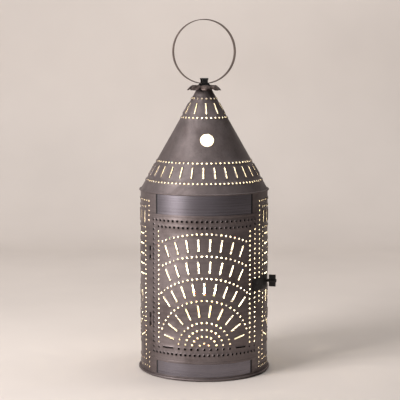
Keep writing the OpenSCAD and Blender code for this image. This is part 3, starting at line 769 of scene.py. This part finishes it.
    def solid(self, name, flat_vertices, first, triangles, heights, slopes,
              materials, body, replaced):
        """Rolls the flat triangles up into a closed sheet with smooth lips."""
        count = len(flat_vertices)
        outer, inner, normals = [], [], []
        for number, vertex in enumerate(flat_vertices):
            along, up = vertex[0] / 1000, vertex[1] / 1000
            height = heights[first[number]]
            tilt_a, tilt_b = slopes[first[number]]
            thickness = SHEET * (1 - 0.45 * min(1.0, height / MM))
            outer.append(self.surface.place(along, up, height))
            inner.append(self.surface.place(along, up, height - thickness))
            normal = self.surface.outward(along, up) + self.surface.sideways(along, up) * tilt_a
            normals.append((normal + self.surface.upward(along, up) * tilt_b).normalized())
        faces = list(triangles) + [(c + count, b + count, a + count) for a, b, c in triangles]
        ids = [0] * len(triangles) + [1] * len(triangles)
        open_edges = {}
        for a, b, c in triangles:
            for edge in ((a, b), (b, c), (c, a)):
                if (edge[1], edge[0]) in open_edges:
                    del open_edges[(edge[1], edge[0])]
                else:
                    open_edges[edge] = True
        faces += [(b, a, a + count, b + count) for a, b in open_edges]
        ids += [2] * len(open_edges)
        piece = add_piece(name, outer + inner, faces, materials, body, replaced, ids)
        mesh = piece.data
        loop_normals = []
        for polygon in mesh.polygons:
            for vertex in polygon.vertices:
                if polygon.material_index == 0:
                    loop_normals.append(normals[vertex])
                elif polygon.material_index == 1:
                    loop_normals.append(-normals[vertex - count])
                else:
                    loop_normals.append(polygon.normal)
        mesh.normals_split_custom_set(loop_normals)
        return piece


def strip(name, surface, start, end, section, materials, body, step=5 * MM):
    """Bar laid on a surface from start to end; its section is (sideways, height) points."""
    (a1, b1), (a2, b2) = start, end
    length = math.hypot(a2 - a1, b2 - b1)
    direction = ((a2 - a1) / length, (b2 - b1) / length)
    count = max(1, round(length / step))
    vertices, faces = [], []
    size = len(section)
    for index in range(count + 1):
        a, b = a1 + (a2 - a1) * index / count, b1 + (b2 - b1) * index / count
        for side, height in section:
            vertices.append(surface.place(a - direction[1] * side, b + direction[0] * side, height))
    for index in range(count):
        for corner in range(size):
            after = (corner + 1) % size
            p, q = index * size, (index + 1) * size
            faces.append((p + corner, q + corner, q + after, p + after))
    faces += [tuple(range(size - 1, -1, -1)), tuple(count * size + i for i in range(size))]
    return keep_edges(add_piece(name, vertices, faces, materials, body))


def hem_section(width, low, high, rounding):
    """Flat bar section with a rounded back, in the order that faces outward."""
    points = [(0.0, low), (width, low)]
    steps = 5
    for step in range(steps + 1):
        angle = math.pi / 2 * step / steps
        points.append((width - rounding + rounding * math.cos(angle),
                       high - rounding + rounding * math.sin(angle)))
    for step in range(steps + 1):
        angle = math.pi / 2 + math.pi / 2 * step / steps
        points.append((rounding + rounding * math.cos(angle), high - rounding + rounding * math.sin(angle)))
    return points


# ---------------------------------------------------------------- operators

class PieceOperator:
    """Runs one maker and reports it as finished."""

    bl_options = {"REGISTER", "UNDO"}

    def execute(self, context):
        self.make(context)
        return {"FINISHED"}


class LANTERN_OT_stage(PieceOperator, bpy.types.Operator):
    """Add the floor, the backdrop, the lights and the camera"""

    bl_idname = "lantern.stage"
    bl_label = "Stage"

    def make(self, context):
        settings = context.scene.lantern_stage
        context.scene.view_settings.view_transform = "Standard"
        self.add_floor(tuple(settings.floor))
        self.add_world()
        self.area_light("key_light", (-1.75, -1.35, 1.2), (0, 0, 0.33), 1.0, 1.5, settings.key_power,
                        (1.0, 0.96, 0.955))
        self.area_light("front_fill", (0.5, -3.2, 1.3), (0, 0, 0.3), 1.6, 1.6, 5, (0.95, 0.95, 1.0))
        self.area_light("backdrop_light", (0.3, 0.2, 2.6), (0, 1.7, 0.6), 2.4, 1.0, 44, (1.0, 0.97, 0.95))
        self.candle_lights(settings)
        self.add_camera(context, settings)

    def add_floor(self, colour):
        """One sweep: flat floor that curves up into the backdrop."""
        depth, radius, height, half_width, steps = 1.5, 0.6, 3.2, 6.0, 16
        profile = [(-4.5, 0.0), (depth, 0.0)]
        for step in range(1, steps + 1):
            angle = math.pi / 2 * step / steps
            profile.append((depth + radius * math.sin(angle), radius - radius * math.cos(angle)))
        profile.append((depth + radius, height))
        vertices = [(x, y, z) for y, z in profile for x in (-half_width, half_width)]
        faces = [(2 * i, 2 * i + 1, 2 * i + 3, 2 * i + 2) for i in range(len(profile) - 1)]
        bench = NodeBench("pale_sweep")
        clouds = bench.noise(2.2, detail=3)
        bench.link(bench.ramp(clouds, [(0.3, shade(colour, 0.96)), (0.7, shade(colour, 1.04))]),
                   bench.shader.inputs["Base Color"])
        bench.shader.inputs["Roughness"].default_value = 0.75
        mesh = bpy.data.meshes.new("sweep")
        mesh.from_pydata(vertices, [], faces)
        mesh.materials.append(bench.material)
        mesh.polygons.foreach_set("use_smooth", [True] * len(mesh.polygons))
        floor = bpy.data.objects.new("sweep", mesh)
        bpy.context.scene.collection.objects.link(floor)
        floor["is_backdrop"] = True

    def add_world(self):
        """Faint even light from all around."""
        world = bpy.data.worlds.new("soft_room")
        world.use_nodes = True
        background = world.node_tree.nodes["Background"]
        background.inputs["Color"].default_value = (0.80, 0.76, 0.75, 1)
        background.inputs["Strength"].default_value = 0.09
        bpy.context.scene.world = world

    def area_light(self, name, place, target, width, height, power, colour):
        """Soft rectangular light turned towards a point."""
        light = bpy.data.lights.new(name, "AREA")
        light.shape = "RECTANGLE"
        light.size = width
        light.size_y = height
        light.energy = power
        light.color = colour
        lamp = bpy.data.objects.new(name, light)
        lamp.location = place
        lamp.rotation_euler = (Vector(target) - Vector(place)).to_track_quat("-Z", "Y").to_euler()
        bpy.context.scene.collection.objects.link(lamp)

    def candle_lights(self, settings):
        """The flame over the wick, and the light that its heat throws into the hood."""
        wick_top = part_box("wick")[1].z
        hood_low, hood_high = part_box("hood_cone")[0].z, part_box("hood_cone")[1].z
        flame_z = wick_top + 14 * MM
        hood_z = hood_low + 0.35 * (hood_high - hood_low)
        low_z = 0.5 * wick_top
        low_reach = 82 * MM
        places = [("flame_light", 0, 0, flame_z, 0.36), ("hood_light", 0, 0, hood_z, 0.09)]
        for number in range(4):
            angle = math.pi / 4 + number * math.pi / 2
            places.append((f"low_light_{number + 1}", low_reach * math.cos(angle), low_reach * math.sin(angle),
                           low_z, 0.045))
        for name, x, y, z, share in places:
            light = bpy.data.lights.new(name, "POINT")
            light.energy = settings.candle_power * share
            light.color = tuple(settings.candle_light)
            light.shadow_soft_size = 9 * MM
            lamp = bpy.data.objects.new(name, light)
            lamp.location = (x, y, z)
            lamp.visible_camera = False
            bpy.context.scene.collection.objects.link(lamp)

    def add_camera(self, context, settings):
        """Long lens in front, a little higher than the petal collar and tilted down."""
        data = bpy.data.cameras.new("camera")
        data.lens = settings.lens
        data.sensor_width = 36
        data.clip_end = 50
        camera = bpy.data.objects.new("camera", data)
        camera.location = (settings.camera_side, -settings.camera_distance, settings.camera_height)
        camera.rotation_euler = (math.pi / 2 - settings.camera_tilt, 0, 0)
        context.scene.collection.objects.link(camera)
        context.scene.camera = camera


class LANTERN_OT_door_panel(PieceOperator, bpy.types.Operator):
    """Make the pierced door with its hems"""

    bl_idname = "lantern.door_panel"
    bl_label = "Door Panel"

    # Slots of each ring of the sunburst and the degrees between them
    slot_rings = ((12, 16.6), (9, 10.2), (8, 7.8), (8, 6.22))
    # Radius in millimetres, half angle in degrees and dots of each arc around the sunburst
    dot_arcs = ((10.4, 52, 3), (23.8, 74, 8), (36.5, 79, 12), (50, 81.5, 16), (92, 75, 26),
                (134.3, 40.3, 22), (176.5, 28.4, 20), (218.5, 22.8, 20))
    outer_inset = 8.3 * MM
    inner_inset = 22.4 * MM
    top_rows = (11.5 * MM, 23.5 * MM)
    foot_rows = (16.9 * MM, 27 * MM)
    wide_dot = 2.2 * MM
    hem = 4.2 * MM

    def make(self, context):
        settings = piercing()
        reference = body_radius()
        surface = RoundWall(door_radius(), reference)
        low_z, high_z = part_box("door_panel")[0].z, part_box("door_panel")[1].z
        half = door_half_angle() * reference
        sheet = PiercedSheet(surface, (-half, low_z), (half, high_z), seed=settings.seed)
        outer, inner = half - self.outer_inset, half - self.inner_inset
        middle_z = settings.sun_height
        sheet.sunburst(0, middle_z, settings.first_ring, self.slot_rings)
        sheet.row(-outer, outer, high_z - self.top_rows[0], None, self.wide_dot)
        sheet.row(-outer, outer, low_z + self.foot_rows[0], 9.0 * MM, self.wide_dot)
        sheet.row(-inner, inner, high_z - self.top_rows[1], 8.9 * MM, self.wide_dot)
        for side in (-1, 1):
            radius = self.wide_dot if side < 0 else None
            sheet.column(side * outer, low_z + self.foot_rows[0], high_z - self.top_rows[0], None, radius)
            sheet.column(side * inner, low_z + self.foot_rows[1], high_z - self.top_rows[1])
        foot = 49 * MM
        sheet.row(-foot, foot, middle_z - 2.1 * MM, 12.2 * MM, self.wide_dot)
        for radius, half_angle, count in self.dot_arcs:
            sheet.arc(0, middle_z, radius * MM, half_angle, count)
        outline = [(-half, low_z), (half, low_z), (half, high_z), (-half, high_z)]
        sheet.build("door_skin", outline, [sheet_tin(), material(inner_tin), sheet_tin()], "door",
                    ["door_panel"])
        level = hem_section(self.hem, 0.02 * MM, HEM_RISE, 0.3 * MM)
        for name, up in (("door_hem_top", high_z - self.hem), ("door_hem_bottom", low_z)):
            strip(name, surface, (-half, up), (half, up), level, [sheet_tin()], "door")


class LANTERN_OT_body_sheet(PieceOperator, bpy.types.Operator):
    """Make the pierced wall around the sides and the back"""

    bl_idname = "lantern.body_sheet"
    bl_label = "Body Sheet"

    jamb = 112.5 * MM
    panel_start = 125.4 * MM
    panel_count = 3
    frame_inset = 14.2 * MM
    slot_pitch = 18 * MM
    rung_count = 5
    rung_pitch = 19.7 * MM
    # Distances of the rows of dots from the edges of the sheet: outer frame, then inner frame
    foot_rows = (14.9 * MM, 27.6 * MM)
    top_rows = (14.8 * MM, 27.2 * MM)
    # Slots of each ring of the sunburst and the degrees between them
    slot_rings = ((7, 22.5), (5, 11.5), (2, 9.6), (3, 7.8))
    # Radius in millimetres, half angle in degrees and dots of each arc around the sunburst
    dot_arcs = ((9, 52, 3), (21, 74, 7), (32, 79, 10), (43.7, 81.5, 14), (85.7, 52, 17),
                (128, 21.5, 11), (170.2, 11.2, 8), (212.2, 9, 8))

    def make(self, context):
        settings = piercing()
        radius = body_radius()
        surface = RoundWall(radius, radius)
        low_z, high_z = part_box("body_sheet")[0].z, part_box("body_sheet")[1].z
        window_low, window_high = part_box("sill_band")[1].z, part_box("header_band")[0].z
        edge = slit_angle() * radius
        jamb = self.jamb
        far_edge = 2 * math.pi * radius - edge

        def keep(along, up, margin):
            return along > jamb + margin or not (window_low - margin < up < window_high + margin)

        sheet = PiercedSheet(surface, (edge, low_z), (far_edge, high_z), keep, settings.seed + 1)
        for hinge in ("upper_hinge_pin", "lower_hinge_pin"):
            low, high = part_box(hinge)
            middle = (low + high) / 2
            along = (2 * math.pi + math.atan2(middle.x, -middle.y)) * radius
            sheet.add(along, middle.z, 1.5 * MM, (high.z - low.z) / 2 - 0.5 * MM, 0.01 * MM,
                      lip=0.3 * MM, burr=0.0, force=True)
        width = 2 * (math.pi * radius - self.panel_start) / self.panel_count
        for number in range(self.panel_count):
            self.panel(sheet, self.panel_start + width * (number + 0.5), width / 2, low_z, high_z, number)
        outline = [(edge, low_z), (far_edge, low_z), (far_edge, high_z), (edge, high_z),
                   (edge, window_high), (jamb, window_high), (jamb, window_low), (edge, window_low)]
        # The fourth look is painted shade for the tin that the door covers.
        looks = [sheet_tin(), material(inner_tin), sheet_tin(), material(door_shadow_tin)]
        skin = sheet.build("body_skin", outline, looks, "lantern", ["body_sheet"])
        self.paint_shade_behind_door(skin, radius)

    def panel(self, sheet, middle, half, low_z, high_z, number):
        """One framed panel: rungs at its sides, a row of slots above, a sunburst in the middle."""
        settings = piercing()
        inner = half - self.frame_inset
        top_slot = high_z - 46.7 * MM
        rung = inner - settings.slot_length / 2 - 7.4 * MM
        count = int(2 * inner / self.slot_pitch) + 1
        for index in range(count):
            sheet.slot(middle + (index - (count - 1) / 2) * self.slot_pitch, top_slot)
        for side in (-1, 1):
            for index in range(self.rung_count):
                sheet.slot(middle + side * rung, top_slot - 112.3 * MM + index * self.rung_pitch, math.pi / 2)
            sheet.slot(middle + side * (inner - 16.4 * MM), top_slot - 156.3 * MM)
        sun_z = settings.side_sun_height
        sheet.sunburst(middle, sun_z, settings.side_first_ring, self.slot_rings)
        for edge, low, high in zip((half, inner), self.foot_rows, self.top_rows):
            sheet.row(middle - edge, middle + edge, high_z - high, 9.15 * MM)
            sheet.row(middle - edge, middle + edge, low_z + low, 9.15 * MM)
        sheet.row(middle - inner, middle + inner, high_z - 67.2 * MM)
        # Heights between which the columns beside the door have no dots
        gaps = {(0, -1): (57 * MM, 143 * MM), (self.panel_count - 1, 1): (52 * MM, 297 * MM)}
        for side in (-1, 1):
            gap = gaps.get((number, side))
            sheet.column(middle + side * half, low_z + self.foot_rows[0], high_z - self.top_rows[0], gap)
            sheet.column(middle + side * inner, low_z + self.foot_rows[1], high_z - 75.5 * MM)
            sheet.column(middle + side * (inner - 34.4 * MM), top_slot - 114 * MM, top_slot - 27 * MM)
        for radius, half_angle, dots in self.dot_arcs:
            sheet.arc(middle, sun_z, radius * MM, half_angle, dots)

    def paint_shade_behind_door(self, skin, radius):
        """Gives painted shade to the tin that the door covers."""
        half = door_half_angle() - 3 * MM / radius
        low_z, high_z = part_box("door_panel")[0].z + 4 * MM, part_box("door_panel")[1].z - 4 * MM
        for face in skin.data.polygons:
            place = face.center
            outward = face.normal.x * place.x + face.normal.y * place.y > 0
            if outward and low_z < place.z < high_z and abs(math.atan2(place.x, -place.y)) < half:
                face.material_index = 3


class LANTERN_OT_hood(PieceOperator, bpy.types.Operator):
    """Make the pierced hood with its rolled rim"""

    bl_idname = "lantern.hood"
    bl_label = "Hood"

    # Slots, height over the rim in millimetres and turn in degrees of each pierced band
    slot_bands = ((30, 38.8, -1.0), (11, 157.6, 6.0))
    # Dots and height over the rim in millimetres of each row
    dot_rows = ((84, 19.6), (66, 56.5), (32, 140.5), (18, 176.8))
    vent_height = 99.1 * MM
    vent_radius = 13.2 * MM
    vent_angle = math.radians(4.4)

    def make(self, context):
        settings = piercing()
        radius = body_radius()
        wire_low, wire_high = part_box("hood_rim_wire")
        lip_z = (wire_low.z + wire_high.z) / 2
        high_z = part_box("hood_cone")[1].z
        reference = 72 * MM
        surface = ConeWall(radius, lip_z, HOOD_TOP_RADIUS, high_z, reference)
        half = math.pi * reference
        sheet = PiercedSheet(surface, (-half, 0.0), (half, surface.slant), seed=settings.seed + 2)
        self.vent(sheet, surface, lip_z + self.vent_height)
        for count, height, turn in self.slot_bands:
            up = surface.slant_of(lip_z + height * MM)
            for index in range(count):
                angle = (math.radians(index * 360 / count + turn) + math.pi) % (2 * math.pi) - math.pi
                self.slot(sheet, angle * reference, up)
        for count, height in self.dot_rows:
            up = surface.slant_of(lip_z + height * MM)
            for index in range(count):
                sheet.dot((-1 + 2 * (index + 0.5) / count) * half, up)
        outline = [(-half, 0.0), (half, 0.0), (half, surface.slant), (-half, surface.slant)]
        sheet.build("hood_skin", outline, [hood_tin(), material(inner_tin), hood_tin()], "lantern",
                    ["hood_cone"], step_a=4 * MM, step_b=8 * MM)
        self.rim(radius, lip_z)

    def slot(self, sheet, along, up):
        """Slot that runs up the slope, narrower than those of the body."""
        settings = piercing()
        sheet.add(along, up, 0.4 * settings.slot_width - CORNER, settings.slot_length / 2 - CORNER, CORNER, 0.0,
                  1.6 * MM, settings.burr * sheet.random.uniform(1.5, 1.9), force=True)

    def vent(self, sheet, surface, height):
        """Round vent hole at the front, with a faint rolled lip."""
        sheet.add(self.vent_angle * surface.reference, surface.slant_of(height), 0, 0, self.vent_radius,
                  lip=1.6 * MM, burr=0.45 * MM, force=True)

    def rim(self, radius, lip_z):
        """Rolled bead around the rim."""
        bead = 1.7 * MM
        middle = radius + 0.9 * MM
        profile = [(middle + bead * math.cos(a), lip_z + bead * math.sin(a))
                   for a in (2 * math.pi * i / 16 for i in range(16))]
        revolve("hood_rim_bead", profile, [hood_tin()], "lantern", steps=160)


class LANTERN_OT_petal_collar(PieceOperator, bpy.types.Operator):
    """Make the collar of drooping petals"""

    bl_idname = "lantern.petal_collar"
    bl_label = "Petal Collar"

    count = 8
    root = 5 * MM
    tip = 33.4 * MM
    thickness = 0.9 * MM
    rows, columns = 18, 12

    def make(self, context):
        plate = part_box("petal_collar")[0].z + 5.35 * MM
        vertices, faces = [], []
        rows, columns = self.rows, self.columns
        rng = random.Random(5)
        for petal in range(self.count):
            turn = 2 * math.pi * petal / self.count + math.radians(6)
            droop = rng.uniform(0.92, 1.08)
            twist = rng.uniform(-0.05, 0.05)
            base = len(vertices)
            for layer in (0.0, -self.thickness):
                for row in range(rows + 1):
                    t = row / rows
                    reach = self.root + (self.tip - self.root) * t
                    for column in range(columns + 1):
                        s = -1 + 2 * column / columns
                        half = self.half_width(t)
                        across = s * half
                        curl = 0.26 * half * s * s * min(1.0, t * 1.3)
                        height = plate - 0.15 * MM + self.rise(t, droop) - curl + layer
                        pull = reach - 1.4 * MM * s * s * t
                        angle = turn + twist * t
                        x = pull * math.sin(angle) + across * math.cos(angle)
                        y = -pull * math.cos(angle) + across * math.sin(angle)
                        vertices.append((x, y, height))
            self.skin(faces, base, rows, columns)
        add_piece("petals", vertices, faces, [material(petal_tin)], "lantern", ["petal_collar"])
        under = plate - self.thickness
        disc = [(0.2 * MM, under), (12.4 * MM, under), (13 * MM, plate - 0.4 * MM), (12.4 * MM, plate),
                (0.2 * MM, plate)]
        revolve("collar_disc", disc, [material(petal_tin)], "lantern", steps=64)

    def half_width(self, t):
        """Half the width of a petal along its length: a narrow root, a full rounded end."""
        root, full = 4.6 * MM, 10.2 * MM
        swell = root + (full - root) * math.sin(min(1.0, t / 0.72) * math.pi / 2)
        if t > 0.72:
            u = (t - 0.72) / 0.28
            swell = full * math.sqrt(max(0.0, 1 - u * u)) * 0.999 + 0.12 * MM
        return swell

    def rise(self, t, droop):
        """Height along a petal: up over a shoulder, then down to the tip."""
        climb = min(1.0, max(0.0, (t - 0.18) / 0.42))
        shoulder = 4.3 * MM * math.sin(climb * math.pi / 2) ** 2
        fall = 9.4 * MM * droop * max(0.0, (t - 0.60) / 0.40) ** 1.5
        return shoulder - fall

    def skin(self, faces, base, rows, columns):
        """Faces of the two sides and the edge of one petal."""
        width = columns + 1
        under = base + (rows + 1) * width
        for row in range(rows):
            for column in range(columns):
                a = base + row * width + column
                faces.append((a, a + 1, a + width + 1, a + width))
                b = under + row * width + column
                faces.append((b, b + width, b + width + 1, b + 1))
        rim = [(0, c) for c in range(columns)] + [(r, columns) for r in range(rows)]
        rim += [(rows, c) for c in range(columns, 0, -1)] + [(r, 0) for r in range(rows, 0, -1)]
        for (r1, c1), (r2, c2) in zip(rim, rim[1:] + rim[:1]):
            a, b = base + r1 * width + c1, base + r2 * width + c2
            faces.append((b, a, a - base + under, b - base + under))


class LANTERN_OT_ring_and_eye(PieceOperator, bpy.types.Operator):
    """Finish the carrying ring and its eye"""

    bl_idname = "lantern.ring_and_eye"
    bl_label = "Ring and Eye"

    def make(self, context):
        for node in ("ring_eye", "collar_washer", "eye_rivet"):
            paint_node(node, material(black_iron))
        steel = material(aged_tin, "ring_steel", tuple(finish().ring), shade(finish().ring, 0.55), 0.8,
                         (0.34, 0.55), (90, 90, 90), 0.08)
        paint_node("carrying_ring", steel)


class LANTERN_OT_bands(PieceOperator, bpy.types.Operator):
    """Finish the smooth bands above and below the door, with painted shade where the door covers them, and give
    the straps behind the slits painted shade
    """

    bl_idname = "lantern.bands"
    bl_label = "Bands"

    def make(self, context):
        for node in ("header_band", "sill_band"):
            paint_node(node, material(band_tin))
        # The straps behind the slits get painted shade so that the slits read dark.
        for node in ("header_splice_left", "header_splice_right", "sill_splice_left", "sill_splice_right"):
            paint_node(node, material(splice_black))


class LANTERN_OT_base_pan(PieceOperator, bpy.types.Operator):
    """Finish the base pan, the wires, the seat ring and the seam"""

    bl_idname = "lantern.base_pan"
    bl_label = "Base Pan"

    def make(self, context):
        paint_node("base_pan", sheet_tin())
        paint_node("hood_seam", hood_tin())
        paint_node("hood_seat_ring", material(seat_tin))
        for node in ("base_rim_wire", "hood_rim_wire", "stud_nut"):
            paint_node(node, material(inner_tin))


class LANTERN_OT_hinges(PieceOperator, bpy.types.Operator):
    """Finish the two door hinges"""

    bl_idname = "lantern.hinges"
    bl_label = "Hinges"

    def make(self, context):
        steel = material(aged_tin, "hinge_steel", (0.10, 0.086, 0.085), (0.045, 0.036, 0.034), 0.7,
                         (0.45, 0.65), (80, 80, 80), 0.06)
        for node in ("upper_hinge_body_leaf", "upper_hinge_pin", "lower_hinge_body_leaf", "lower_hinge_pin",
                     "body_hinge_rivets"):
            paint_node(node, steel)
        for node in ("upper_hinge_door_leaf", "lower_hinge_door_leaf", "door_hinge_rivets"):
            paint_node(node, sheet_tin())


class LANTERN_OT_latch(PieceOperator, bpy.types.Operator):
    """Finish the hasp, the stud and the turn button"""

    bl_idname = "lantern.latch"
    bl_label = "Latch"

    def make(self, context):
        for node in ("latch_hasp", "hasp_rivets", "latch_stud", "stud_cap", "turn_button"):
            paint_node(node, material(black_iron))


class LANTERN_OT_candle(PieceOperator, bpy.types.Operator):
    """Make the candle and its wick, and finish the cup"""

    bl_idname = "lantern.candle"
    bl_label = "Candle"

    def make(self, context):
        for node in ("candle_cup", "cup_rivets"):
            paint_node(node, material(inner_tin))
        self.pillar()
        self.wick()

    def pillar(self):
        """Pillar with a melted pool, a slumped rim and a few runs of wax."""
        low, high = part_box("candle")
        radius = high.x
        top = high.z
        rng = random.Random(3)
        runs = [(rng.uniform(0, 2 * math.pi), rng.uniform(18, 55) * MM, rng.uniform(2.2, 3.6) * MM)
                for _ in range(7)]
        profile = [(0.3 * MM, low.z), (radius - 1.2 * MM, low.z), (radius - 0.5 * MM, low.z + 1 * MM)]
        profile += [(radius - 0.5 * MM, low.z + (top - low.z) * i / 24) for i in range(1, 24)]
        profile += [(radius - 1.2 * MM, top - 1.2 * MM), (radius - 3 * MM, top - 0.4 * MM),
                    (radius - 6 * MM, top - 1.6 * MM),
                    (radius - 9 * MM, top - 4.5 * MM), (radius - 14 * MM, top - 6 * MM),
                    (10 * MM, top - 6.4 * MM), (0.3 * MM, top - 6.4 * MM)]

        def melted(angle, index, r, z):
            if 2 < index < 29:
                run = sum(max(0.0, 1 - ((angle - a + math.pi) % (2 * math.pi) - math.pi) ** 2 * (r / w) ** 2)
                          * 1.1 * MM * (1 if z > top - length else 0) for a, length, w in runs)
                place = Vector((math.cos(angle) * 3, math.sin(angle) * 3, z * 30))
                r = r - 0.6 * MM + min(run, 0.9 * MM) + 0.25 * MM * noise.noise(place)
            if 26 <= index <= 30:
                z += 0.3 * MM * noise.noise(Vector((math.cos(angle) * 2, math.sin(angle) * 2, 4.0)))
            return r, z

        revolve("pillar_candle", profile, [material(wax)], "candle", ["candle"], steps=96, wobble=melted)

    def wick(self):
        """Braided wick that bends over at its tip."""
        low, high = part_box("wick")
        radius = high.x
        vertices, faces = [], []
        rings, sides = 14, 10
        for ring in range(rings + 1):
            t = ring / rings
            z = low.z + (high.z - low.z - 1.0 * MM) * t
            lean = 3.2 * MM * max(0.0, t - 0.55) ** 1.6
            for side in range(sides):
                angle = 2 * math.pi * side / sides + t * 5
                r = radius * (0.92 + 0.08 * math.cos(3 * angle)) * (1 - 0.25 * t)
                vertices.append((lean + r * math.cos(angle), r * math.sin(angle), z))
        for ring in range(rings):
            for side in range(sides):
                after = (side + 1) % sides
                p, q = ring * sides, (ring + 1) * sides
                faces.append((p + side, p + after, q + after, q + side))
        faces += [tuple(range(sides - 1, -1, -1)), tuple(rings * sides + i for i in range(sides))]
        add_piece("curled_wick", vertices, faces, [material(charred_cotton)], "candle", ["wick"])


class LANTERN_PT_panel(bpy.types.Panel):
    """Lists the makers and their settings"""

    bl_idname = "LANTERN_PT_panel"
    bl_label = "Candle Lantern"
    bl_space_type = "VIEW_3D"
    bl_region_type = "UI"
    bl_category = "Lantern"

    def draw(self, context):
        layout = self.layout
        for name, group in SETTINGS:
            box = layout.box()
            for prop in group.__annotations__:
                box.prop(getattr(context.scene, name), prop)
        for operator in OPERATORS:
            layout.operator(operator.bl_idname)


OPERATORS = (
    LANTERN_OT_stage, LANTERN_OT_base_pan, LANTERN_OT_body_sheet, LANTERN_OT_bands, LANTERN_OT_door_panel,
    LANTERN_OT_hinges, LANTERN_OT_latch, LANTERN_OT_hood, LANTERN_OT_petal_collar, LANTERN_OT_ring_and_eye,
    LANTERN_OT_candle,
)
CLASSES = (PiercingSettings, FinishSettings, StageSettings) + OPERATORS + (LANTERN_PT_panel,)


def register():
    for item in CLASSES:
        bpy.utils.register_class(item)
    for name, group in SETTINGS:
        setattr(bpy.types.Scene, name, PointerProperty(type=group))


def unregister():
    for name, _ in SETTINGS:
        delattr(bpy.types.Scene, name)
    for item in reversed(CLASSES):
        bpy.utils.unregister_class(item)


def main():
    register()
    for operator in OPERATORS:
        group, action = operator.bl_idname.split(".")
        getattr(getattr(bpy.ops, group), action)()
    boxes = {"cad": CAD_BOX, "visual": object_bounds()}
    {name: [list(corner) for corner in box] for name, box in boxes.items()}


if __name__ == "__main__":
    main()
